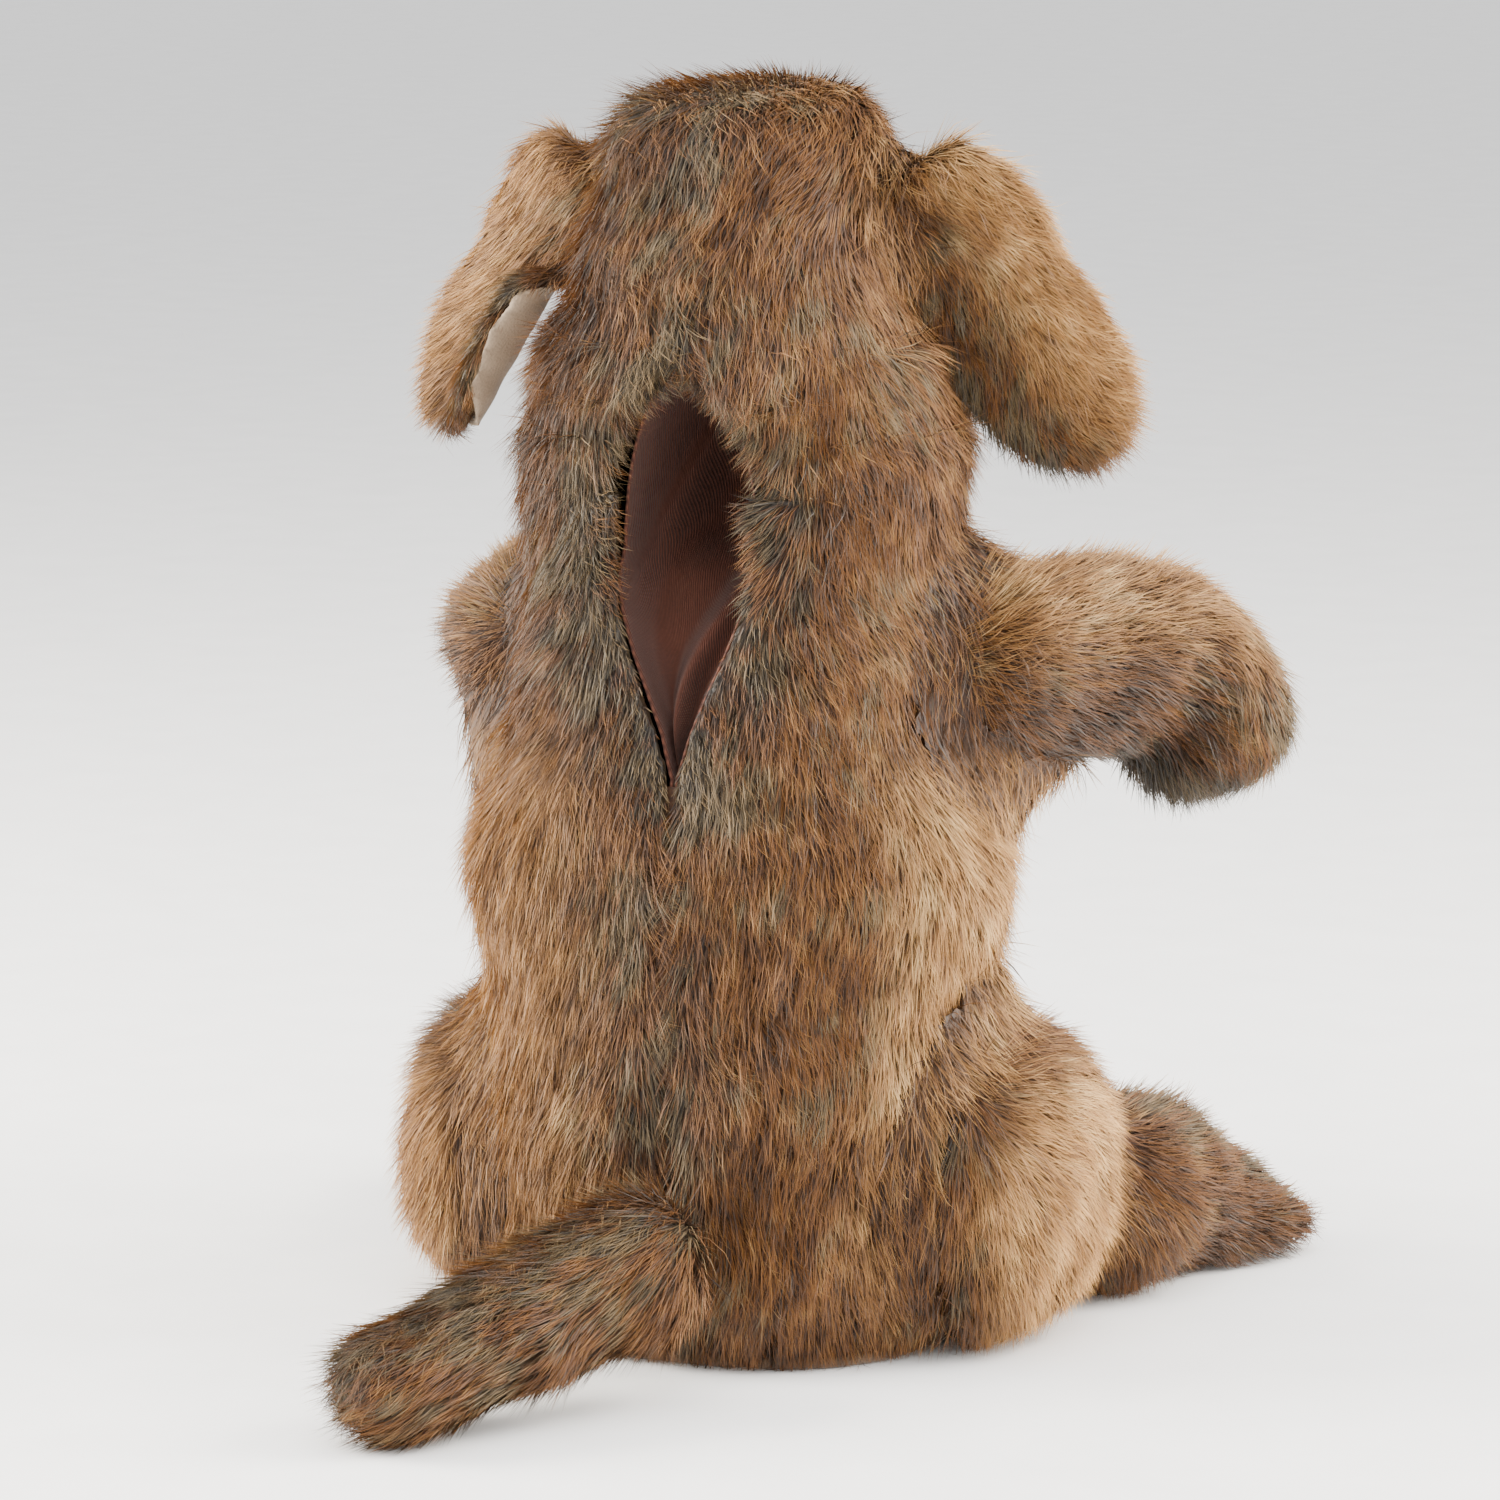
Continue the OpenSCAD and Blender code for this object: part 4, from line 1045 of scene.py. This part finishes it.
def seam_tape(name, side, low, high):
    """A strip inside the body, under the seam on one side (-1 the belly, 1 the spine)."""
    bm = bmesh.new()
    bmesh.ops.create_grid(bm, x_segments=4, y_segments=60, size=0.5)
    for v in bm.verts:
        z = mix(low, high, v.co.y + 0.5)
        hits = [BODY_SHELL.ray_cast(Vector((x, side * FAR, z)), Vector((0, -side, 0)))[0]
                for x in (2 * MM, 4 * MM, 8 * MM)]
        surface = next(hit.y for hit in hits if hit and hit.y * side > 20 * MM)
        v.co = Vector((v.co.x * TAPE_WIDTH, surface - side * TAPE_DEPTH, z))
    bmesh.ops.solidify(bm, geom=bm.faces, thickness=1.0 * MM)
    bmesh.ops.recalc_face_normals(bm, faces=bm.faces)
    tape = object_from(bm, name)
    # the tape wears the backing's finish, with its painted shade
    tape.data.materials.append(BACKING_FINISH)
    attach(tape, "torso")


seam_tape("belly_seam_tape", -1, SEAM_FOOT, SEAM_HEAD)
seam_tape("spine_seam_tape", 1, SEAM_FOOT, SLIT_BOTTOM - 3 * MM)

# %% [markdown]
# ## Webs of cloth
#
# On a sewn toy a limb isn't a ball beside a barrel: the cloth runs from one to the other in a soft
# hollow. Each web fills the crease between the body and a limb. Both are swollen until they merge
# and then shrunk again, which leaves the sheet that a ball rolled along the crease would leave. A
# web isn't attached to a body, so it stays in place when the limb moves.

# %% Webs
WEB_GAP = 1.6 * MM
WEB_WALL = 1.5 * MM


def crease_sheet(name, body_nodes, limb_nodes, reach, near, voxel=3 * MM, extra=None):
    """The sheet over the crease between two groups of parts where near(p) holds, and its pile rule."""
    shells = [tree_of(body_nodes), tree_of(limb_nodes)]
    obj = cover_from(name, list(body_nodes) + list(limb_nodes), voxel=voxel, inset=-reach, rounds=2,
                     extra=extra)
    remesh = obj.modifiers.new("voxels", "REMESH")
    remesh.mode, remesh.voxel_size = "VOXEL", voxel
    apply_modifiers(obj)

    def gap(p):
        return min(tree.find_nearest(p)[3] for tree in shells)

    def shrink(bm):
        keep_outer_island(bm)
        smooth_mesh(bm, 8)
        bm.normal_update()
        for v in bm.verts:
            v.co -= v.normal * (reach - 0.2 * MM)
        filled = {v for v in bm.verts if near(v.co) and gap(v.co) > WEB_GAP}
        for _ in range(2):
            filled |= {e.other_vert(v) for v in filled for e in v.link_edges}
        spare = [v for v in bm.verts if v not in filled or v.co.z < 1 * MM]
        bmesh.ops.delete(bm, geom=spare, context="VERTS")
        keep_outer_island(bm)
        smooth_mesh(bm, 4)
        bm.normal_update()
        inner = bmesh.ops.extrude_face_region(bm, geom=list(bm.faces), use_keep_orig=True)["geom"]
        for v in [g for g in inner if isinstance(g, bmesh.types.BMVert)]:
            v.co -= v.normal * WEB_WALL
        bmesh.ops.recalc_face_normals(bm, faces=bm.faces)

    def outer(p, n):
        return 0.95 if gap(p + n * (4 * MM)) > gap(p) and p.z > 6 * MM else 0.0
    return reshape(obj, shrink), outer


def web_painted_highlight(p, n):
    # painted highlight on the sides that face the lamps
    pale = 0.8 * smoothstep(0.3, 0.9, n.dot(lit_side(math.copysign(1, p.x))))
    pale *= smoothstep(20 * MM, 60 * MM, p.z)
    return pale * smoothstep(170 * MM, 150 * MM, p.z)


def flank(bm):
    """The fold of cloth that bags out under the left front leg."""
    for height, radius in ((0.150, 22 * MM), (0.134, 19 * MM)):
        add_ball(bm, Vector((0.057, -0.008, height)), radius)


SIDE_PANELS = {side: ["back_panel_" + side, "belly_panel_" + side] for side in ("left", "right")}
for number, side in enumerate(("left", "right")):
    sign = 1 if side == "left" else -1
    shoulder = Vector(joint_named(f"arm_{side}_raise")["pos_m"])
    for part, limb_nodes, body, reach, near in (
            ("shoulder_web_", ["arm_sleeve_"], "shoulder_", 22 * MM,
             lambda p: (p - shoulder).length < 60 * MM and p.x * sign > 30 * MM),
            ("hip_web_", ["thigh_cover_"], "leg_", 15 * MM,
             lambda p: p.x * sign > 34 * MM and p.z < 125 * MM and p.y > -40 * MM)):
        web, outer = crease_sheet(part + side, SIDE_PANELS[side], [n + side for n in limb_nodes], reach, near,
                                  extra=flank if part + side == "shoulder_web_left" else None)

        set_plan(web, hanging, outer, lambda p, n: 0.0, web_painted_highlight)
        plant(web, 24000, FUR_LENGTH, lift=0.42, seed=90 + number)
        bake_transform(web)

for number, side in enumerate(("left", "right")):
    sign = 1 if side == "left" else -1
    root = Vector(joint_named(f"ear_{side}_flop")["pos_m"])
    web, outer = crease_sheet(
        "ear_web_" + side, ["head_cover"], ["ear_fur_" + side], 13 * MM,
        lambda p: ((p - root).length < 42 * MM and p.z > root.z - 26 * MM
                   and p.y > root.y - 12 * MM))
    set_plan(web, head_comb, outer, lambda p, n: 0.0, lambda p, n: 0.25)
    plant(web, 12000, FUR_LENGTH, lift=0.4, seed=94 + number)
    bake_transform(web)

# %% [markdown]
# ## Ears
#
# An ear is one leaf of fur cloth and one of pale velour, sewn back to back and turned. The fur side
# faces out and back, and the velour shows where the ear curls.

# %% Velour and ribbed knit


def fabric_material(name, dark, light, scale, bump, roughness, sheen=0.3, ribs=0.0):
    """Short cloth: a mottled colour, a fine grain, and ribs along the piece's own UV if asked."""
    material = bpy.data.materials.new(name)
    material.use_nodes = True
    tree = material.node_tree
    principled = tree.nodes["Principled BSDF"]
    place = add_node(tree, "ShaderNodeTexCoord").outputs
    cloud = add_node(tree, "ShaderNodeTexNoise", {"Vector": place["Object"], "Scale": 60.0, "Detail": 4.0})
    grain = add_node(tree, "ShaderNodeTexNoise", {"Vector": place["Object"], "Scale": scale, "Detail": 3.0})
    blend = math_node(tree, "ADD", math_node(tree, "MULTIPLY", cloud.outputs["Fac"], 0.6),
                      math_node(tree, "MULTIPLY", grain.outputs["Fac"], 0.4))
    height = grain.outputs["Fac"]
    if ribs:
        wave = add_node(tree, "ShaderNodeTexWave", {"Vector": place["UV"], "Scale": ribs, "Distortion": 0.6,
                                                    "Detail": 1.0, "Detail Scale": 0.6})
        blend = math_node(tree, "ADD", math_node(tree, "MULTIPLY", blend, 0.6),
                          math_node(tree, "MULTIPLY", wave.outputs["Fac"], 0.4))
        height = math_node(tree, "ADD", math_node(tree, "MULTIPLY", height, 0.3), wave.outputs["Fac"])
    tree.links.new(color_ramp(tree, blend, [(0.3, dark), (0.7, light)]), principled.inputs["Base Color"])
    bumps = add_node(tree, "ShaderNodeBump", {"Height": height, "Strength": bump, "Distance": 0.4 * MM})
    tree.links.new(bumps.outputs[0], principled.inputs["Normal"])
    principled.inputs["Roughness"].default_value = roughness
    principled.inputs["Sheen Weight"].default_value = sheen
    principled.inputs["Specular IOR Level"].default_value = 0.2
    return material


VELOUR = fabric_material("velour", (0.20, 0.148, 0.100), (0.32, 0.245, 0.172), 1400.0, 0.5, 0.85, 0.12)
KNIT = fabric_material("ribbed_knit", (0.040, 0.013, 0.008), (0.105, 0.036, 0.021), 1200.0, 0.6, 0.75,
                       sheen=0.06, ribs=420.0)
MOUTH_CLOTH = fabric_material("mouth_cloth", (0.012, 0.006, 0.005), (0.026, 0.012, 0.010), 1500.0, 0.5, 0.85,
                              sheen=0.05)
FELT = fabric_material("seat_felt", (0.075, 0.048, 0.030), (0.150, 0.100, 0.062), 900.0, 0.9, 0.9)
FIBRE = fabric_material("fibre_filling", (0.62, 0.60, 0.56), (0.86, 0.84, 0.80), 500.0, 1.0, 0.95)
TONGUE_CLOTH = fabric_material("tongue_cloth", (0.34, 0.10, 0.11), (0.52, 0.19, 0.20), 1300.0, 0.5, 0.8)

# %% Ears
ROLL_START, ROLL_RADIUS = 0.0, 7.5 * MM


def ear_piece(side, number):
    sign = 1 if side == "left" else -1
    fur_box, lining_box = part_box("ear_fur_" + side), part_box("ear_lining_" + side)
    joint = joint_named(f"ear_{side}_flop")
    root, hinge = Vector(joint["pos_m"]), Vector(joint["axis"]).normalized()
    low = (fur_box[0] + fur_box[1]) / 2
    lean = (low - root)
    lean = (lean - hinge * lean.dot(hinge)).normalized()
    back = hinge.cross(lean).normalized()
    if back.y < 0:
        back = -back
    across = hinge if hinge.x * sign > 0 else -hinge

    def comb(p, n):
        off = (p - root).dot(across)
        return lean + across * (off / (22 * MM)) * 0.5

    def pile(p, n):
        front = smoothstep(-0.35, 0.05, n.dot(back))
        if side == "left":
            sewn_on = 24 * MM * smoothstep(40 * MM, 0.0, (p - root).dot(lean))
            front *= smoothstep(-20 * MM, -2 * MM, (p - root).dot(across) + sewn_on)
        return front * mix(0.85, 0.8, smoothstep(0.0, 40 * MM, (p - root).dot(lean)))

    def grey(p, n):
        inner = smoothstep(4 * MM, -14 * MM, (p - root).dot(across))
        return 0.4 * inner

    # painted highlight on the ear's outer side
    def gold_tint_and_highlight(p, n):
        return 0.7 * smoothstep(-8 * MM, 12 * MM, (p - root).dot(across))

    def sewn(bm):
        """Widens the root, which is sewn on along the crown, and rolls the left ear's inner edge back."""
        for v in bm.verts:
            down, off, deep = ((v.co - root).dot(way) for way in (lean, across, back))
            full = smoothstep(44 * MM, -2 * MM, down)
            wide = off * (1 + full * (0.8 if off > 0 else 0.5))
            rolled = smoothstep(8 * MM, 40 * MM, down) * (1 if side == "left" else 0.12)
            spare = max(0.0, ROLL_START - wide)
            if spare > 0:
                angle = spare * rolled / ROLL_RADIUS
                arm = ROLL_RADIUS - deep
                wide = ROLL_START - spare * (1 - rolled) - arm * math.sin(angle)
                deep = ROLL_RADIUS - arm * math.cos(angle)
            v.co = root + lean * down + across * wide + back * (deep + 2.5 * MM * full)
        bm.normal_update()

    ear = cover_from("ear_pile_" + side, ["ear_fur_" + side], voxel=1.6 * MM, inset=0.2 * MM, rounds=3)
    plush_lumps(ear, 0.8 * MM, 16 * MM)
    reshape(ear, sewn)
    set_plan(ear, comb, pile, grey, gold_tint_and_highlight)
    plant(ear, 81000, FUR_LENGTH, lift=0.36, lock_size=4 * MM, seed=80 + number)
    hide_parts("ear_fur_" + side)
    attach(ear, "ear_" + side)
    leaf = cover_from("ear_velour_" + side, ["ear_lining_" + side], voxel=0.9 * MM, inset=0.0, rounds=2)
    plush_lumps(leaf, 0.7 * MM, 9 * MM)
    reshape(leaf, sewn)
    leaf.data.materials.append(VELOUR)
    shade_smooth(leaf)
    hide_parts("ear_lining_" + side)
    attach(leaf, "ear_" + side)
    print("ear lining", side, [round(v, 3) for v in lining_box[1] - lining_box[0]])


for number, side in enumerate(("left", "right")):
    ear_piece(side, number)

# %% [markdown]
# ## Hand lining
#
# Behind the slit hangs a bag of brown ribbed knit, sewn to the slit's edges and a good deal bigger
# than the opening, so it falls in deep slanting folds. It could be simulated, but the folds that
# matter are few and stand in set places, so each is a ridge drawn along its own line across a grid.

# %% Hand lining
KNIT_WALL = 0.7 * MM
LINING_BOTTOM, LINING_TOP = SLIT_BOTTOM - 4 * MM, SLIT_TOP + 3 * MM


def slit_surface_y(z):
    """Where the cloth beside the slit lies behind the puppet: the body, then the ruff above it."""
    def on_body(height):
        hit = BODY_SHELL.ray_cast(Vector((slit_half(height) + 3 * MM, FAR, height)), Vector((0, -1, 0)))[0]
        return hit.y
    low, high = RUFF_LOW - 2 * MM, RUFF_LOW + 10 * MM
    if z < low:
        return on_body(z)
    return mix(on_body(low), ruff_point(0.0, max(z, high)).y, smoothstep(low, high, z))


def ridge(u, z, start, end, width):
    """1 on the line between two places (u, height) of the sheet, falling off to both sides."""
    su, sz, eu, ez = start[0] * 60 * MM, start[1], end[0] * 60 * MM, end[1]
    du, dz = eu - su, ez - sz
    t = min(1.0, max(0.0, ((u * 60 * MM - su) * du + (z - sz) * dz) / (du * du + dz * dz)))
    off = math.hypot(u * 60 * MM - su - t * du, z - sz - t * dz)
    return math.exp(-(off / width) ** 2) * math.sin(math.pi * (0.12 + 0.76 * t))


# (start, end, half width, how far it stands out of the bag): u is 0 at the dog's left edge
FOLDS = (
    ((0.34, 0.160), (0.72, 0.212), 5.0 * MM, 9.0 * MM),
    ((0.58, 0.158), (0.86, 0.202), 3.4 * MM, 6.5 * MM),
    ((0.10, 0.200), (0.42, 0.246), 4.2 * MM, 8.0 * MM),
    ((0.70, 0.236), (0.95, 0.262), 5.0 * MM, 8.0 * MM),
    ((0.30, 0.186), (0.50, 0.214), 8.0 * MM, 5.0 * MM),
)
FOLD_FULLNESS = 1.3


def lining_point(u, z):
    half = max(slit_half(z), 0.3 * MM)
    wide = half + 2.5 * MM * math.sin(math.pi * u)
    rise = smoothstep(LINING_BOTTOM, SLIT_TOP - 26 * MM, z)
    depth = mix(11 * MM, 48 * MM, rise ** 1.4) * smoothstep(SLIT_TOP + 6 * MM, SLIT_TOP - 8 * MM, z)
    inward = math.sin(math.pi * u) ** mix(0.6, 1.1, rise)
    for start, end, width, height in FOLDS:
        depth -= FOLD_FULLNESS * height * ridge(u, z, start, end, width) * smoothstep(0.0, 0.012, depth)
    depth += 1.0 * MM * noise.noise(Vector((u * 5, z * 60, 0.3)))
    edge = slit_surface_y(z) - 3.2 * MM
    x = wide * math.cos(math.pi * u)
    return Vector((x, edge - max(0.0, depth) * inward, z))


bm = bmesh.new()
bmesh.ops.create_grid(bm, x_segments=70, y_segments=110, size=0.5, calc_uvs=True)
lay = bm.loops.layers.uv.verify()
for face in bm.faces:
    for loop in face.loops:
        u, v = loop.vert.co.x + 0.5, loop.vert.co.y + 0.5
        slanted = Vector((u * 0.08 + v * 0.03, v * 0.12 - u * 0.045))
        loop[lay].uv = slanted
for v in bm.verts:
    v.co = lining_point(v.co.x + 0.5, mix(LINING_BOTTOM, LINING_TOP, v.co.y + 0.5))
bm.normal_update()
knit_area = sum(f.calc_area() for f in bm.faces)
bmesh.ops.solidify(bm, geom=bm.faces, thickness=KNIT_WALL)
bmesh.ops.recalc_face_normals(bm, faces=bm.faces)
hand_lining = object_from(bm, "hand_lining")
hand_lining.data.materials.append(KNIT)
shade_smooth(hand_lining)
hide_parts("lining_back_left", "lining_back_right", "lining_front")
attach(hand_lining, "torso")

# %% [markdown]
# ## Face
#
# The eyes are glossy domes on a shank, each in a dark rim. The nose is a moulded cap with two
# nostrils. Both could be plain balls, but a rim and nostrils are what make them read as a face.

# %% Glossy and moulded finishes


def plastic_material(name, color, roughness, coat=0.0, grain=0.0):
    material = bpy.data.materials.new(name)
    material.use_nodes = True
    tree = material.node_tree
    principled = tree.nodes["Principled BSDF"]
    place = add_node(tree, "ShaderNodeTexCoord").outputs["Object"]
    cloud = add_node(tree, "ShaderNodeTexNoise", {"Vector": place, "Scale": 250.0, "Detail": 3.0})
    darker = tuple(c * 0.7 for c in color)
    tree.links.new(color_ramp(tree, cloud.outputs["Fac"], [(0.35, darker), (0.65, color)]),
                   principled.inputs["Base Color"])
    if grain:
        pebbles = add_node(tree, "ShaderNodeTexVoronoi", {"Vector": place, "Scale": 1100.0})
        bumps = add_node(tree, "ShaderNodeBump", {"Height": pebbles.outputs["Distance"], "Strength": grain,
                                                  "Distance": 0.3 * MM})
        tree.links.new(bumps.outputs[0], principled.inputs["Normal"])
    principled.inputs["Roughness"].default_value = roughness
    principled.inputs["Specular IOR Level"].default_value = 0.25
    principled.inputs["Coat Weight"].default_value = coat
    return material


def eye_material():
    """A dark pupil in a brown iris, by the distance from the eye's own axis in its UV map."""
    material = bpy.data.materials.new("eye_glass")
    material.use_nodes = True
    tree = material.node_tree
    principled = tree.nodes["Principled BSDF"]
    out = add_node(tree, "ShaderNodeUVMap", uv_map="disc").outputs[0]
    distance = add_node(tree, "ShaderNodeVectorMath", {0: out}, operation="LENGTH").outputs["Value"]
    streaks = add_node(tree, "ShaderNodeTexNoise", {"Vector": out, "Scale": 9.0, "Detail": 3.0})
    place = math_node(tree, "ADD", distance, math_node(tree, "MULTIPLY", streaks.outputs["Fac"], 0.06))
    iris = color_ramp(tree, place, [(0.52, (0.001, 0.001, 0.001)), (0.60, (0.040, 0.014, 0.004)),
                                    (0.80, (0.022, 0.008, 0.002)), (0.90, (0.002, 0.001, 0.001))])
    tree.links.new(iris, principled.inputs["Base Color"])
    principled.inputs["Roughness"].default_value = 0.12
    principled.inputs["Specular IOR Level"].default_value = 0.3
    principled.inputs["Coat Weight"].default_value = 0.15
    return material


EYE_GLASS = eye_material()
RIM = plastic_material("eye_rim", (0.012, 0.009, 0.008), 0.45)
NOSE_CAP = plastic_material("nose_cap", (0.005, 0.004, 0.003), 0.42, coat=0.05, grain=0.5)
WASHER = plastic_material("washer_plastic", (0.72, 0.71, 0.68), 0.5)

# %% Eyes


def set_disc_uv(obj, middle, radius):
    """Maps the front of a ball as a disc seen from the front."""
    layer = obj.data.uv_layers.new(name="disc")
    for loop in obj.data.loops:
        co = obj.data.vertices[loop.vertex_index].co - middle
        layer.data[loop.index].uv = (co.x / radius, co.z / radius)


for side, middle in zip(("left", "right"), EYE_FRONTS):
    bm = bmesh.new()
    bmesh.ops.create_uvsphere(bm, u_segments=40, v_segments=24, radius=EYE_RADIUS)
    bmesh.ops.rotate(bm, verts=bm.verts, cent=(0, 0, 0),
                     matrix=Vector((0, -1, 0)).to_track_quat("Z", "Y").to_matrix())
    bmesh.ops.translate(bm, verts=bm.verts, vec=middle)
    eye = object_from(bm, "eye_dome_" + side)
    set_disc_uv(eye, middle, EYE_RADIUS)
    eye.data.materials.append(EYE_GLASS)
    shade_smooth(eye)
    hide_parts("eye_" + side)
    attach(eye, "head")
    bm = bmesh.new()
    ring = bmesh.ops.create_circle(bm, segments=10, radius=1.1 * MM)["verts"]
    bmesh.ops.rotate(bm, verts=ring, cent=(0, 0, 0),
                     matrix=Vector((0, 0, 1)).to_track_quat("Y", "Z").to_matrix())
    bmesh.ops.translate(bm, verts=ring, vec=(EYE_RADIUS * 0.93, 0, 0))
    bmesh.ops.spin(bm, geom=list(bm.verts) + list(bm.edges), cent=(0, 0, 0), axis=(0, 1, 0), angle=TAU,
                   steps=36, use_merge=True)
    bmesh.ops.translate(bm, verts=bm.verts, vec=middle + Vector((0, -1.6 * MM, 0)))
    bmesh.ops.recalc_face_normals(bm, faces=bm.faces)
    rim = object_from(bm, "eye_rim_" + side)
    rim.data.materials.append(RIM)
    shade_smooth(rim)
    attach(rim, "head")

# %% Nose
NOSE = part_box("nose")
nose_middle, nose_size = (NOSE[0] + NOSE[1]) / 2, NOSE[1] - NOSE[0]


def nose_shape(bm):
    """Wider above than below, flat behind, with two nostrils pressed into its lower front."""
    for v in bm.verts:
        x, y, z = v.co
        taper = mix(0.72, 1.06, smoothstep(-1.0, 0.6, z))
        x *= taper
        for side in (-1, 1):
            near = math.exp(-(((x - side * 0.46) / 0.2) ** 2 + ((z + 0.22) / 0.26) ** 2))
            y += 0.5 * near * (1 if y < 0.2 else 0)
        groove = math.exp(-(x / 0.09) ** 2) * smoothstep(0.3, -0.5, z)
        y += 0.16 * groove * (1 if y < 0.2 else 0)
        v.co = Vector((x * nose_size.x / 2, y * nose_size.y * 0.62, z * nose_size.z / 2)) + nose_middle


bm = bmesh.new()
bmesh.ops.create_uvsphere(bm, u_segments=64, v_segments=40, radius=1.0)
nose_shape(bm)
bm.normal_update()
nose = object_from(bm, "nose_cap")
nose.data.materials.append(NOSE_CAP)
shade_smooth(nose)
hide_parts("nose")
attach(nose, "head")

# %% Tongue
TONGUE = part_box("tongue")
tongue_middle, tongue_size = (TONGUE[0] + TONGUE[1]) / 2, TONGUE[1] - TONGUE[0]
bm = bmesh.new()
bmesh.ops.create_uvsphere(bm, u_segments=40, v_segments=20, radius=1.0)
for v in bm.verts:
    x, y, z = v.co
    z -= 0.5 * math.exp(-(x / 0.16) ** 2) * (1 if z > 0 else 0)
    v.co = tongue_middle + Vector((x * tongue_size.x / 2, y * tongue_size.y / 2, z * tongue_size.z / 2))
bm.normal_update()
tongue = object_from(bm, "tongue_leaf")
tongue.data.materials.append(TONGUE_CLOTH)
shade_smooth(tongue)
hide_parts("tongue")
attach(tongue, "jaw")

# %% [markdown]
# ## Seat and inner parts
#
# The seat is a plain felt panel with a rounded edge. Parts that only show when the puppet is taken
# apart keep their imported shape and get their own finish: loose white fibre, knit pockets, mouth
# boards in dark velour, and moulded washers.

# %% Seat and inner parts
seat = cover_from("seat_felt_panel", ["base_panel"], voxel=1.8 * MM, inset=0.1 * MM, rounds=2)
seat.data.materials.append(FELT)
shade_smooth(seat)
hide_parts("base_panel")
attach(seat, "torso")

INNER_FINISHES = {
    "seat_filling": FIBRE, "head_filling": FIBRE, "head_lining": KNIT, "upper_mouth_plate": MOUTH_CLOTH,
    "lower_mouth_plate": MOUTH_CLOTH, "eye_washer_left": WASHER, "eye_washer_right": WASHER,
    "arm_cuff_left": KNIT, "arm_cuff_right": KNIT, "arm_lining_left": KNIT, "arm_lining_right": KNIT}
for node, finish in INNER_FINISHES.items():
    mesh = frame["nodes"][node].data
    mesh.materials.clear()
    mesh.materials.append(finish)

# %% [markdown]
# ## Floor and light
#
# A pale floor and broad, soft lights. Two tall lights stand one to each side of the puppet, so the
# tips of the pile along its outline light up.

# %% Studio


def add_floor():
    bm = bmesh.new()
    bmesh.ops.create_grid(bm, x_segments=1, y_segments=1, size=6.0)
    floor = object_from(bm, "floor")
    material = bpy.data.materials.new("floor_paper")
    material.use_nodes = True
    tree = material.node_tree
    grain = add_node(tree, "ShaderNodeTexNoise", {"Scale": 400.0, "Detail": 3.0})
    shade = color_ramp(tree, grain.outputs["Fac"], [(0.3, (0.90, 0.90, 0.90)), (0.7, (0.94, 0.94, 0.94))])
    tree.links.new(shade, tree.nodes["Principled BSDF"].inputs["Base Color"])
    tree.nodes["Principled BSDF"].inputs["Roughness"].default_value = 0.9
    floor.data.materials.append(material)


def add_softbox(name, azimuth, elevation, distance, size, power, color=(1, 1, 1)):
    """A square light that looks at the puppet."""
    data = bpy.data.lights.new(name, "AREA")
    data.shape, data.size, data.size_y = "RECTANGLE", size[0], size[1]
    data.energy, data.color = power, color
    light = bpy.data.objects.new(name, data)
    toward = view_direction(math.radians(azimuth), math.radians(elevation))
    light.location = AIM + toward * distance
    light.rotation_mode = "QUATERNION"
    light.rotation_quaternion = (-toward).to_track_quat("-Z", "Y")
    bpy.context.collection.objects.link(light)


add_floor()
add_softbox("light_over", 200, 75, 1.3, (1.4, 1.4), 26)
add_softbox("light_from_left", 108, 20, 1.2, (0.5, 1.4), 62, (1, 0.94, 0.84))
add_softbox("light_from_right", 284, 22, 1.2, (0.5, 1.4), 50, (1, 0.94, 0.86))
add_softbox("light_fill", 196, 30, 1.9, (1.4, 1.4), 10)
world = bpy.data.worlds.new("studio")
world.use_nodes = True
world.node_tree.nodes["Background"].inputs["Color"].default_value = (1, 1, 1, 1)
world.node_tree.nodes["Background"].inputs["Strength"].default_value = 1.25
bpy.context.scene.world = world

# %% [markdown]
# ## Putting the tools away
#
# The blades were only patterns to copy.

# %% Close
for blade in list(BLADES.objects):
    bpy.data.objects.remove(blade)
bpy.data.collections.remove(BLADES)
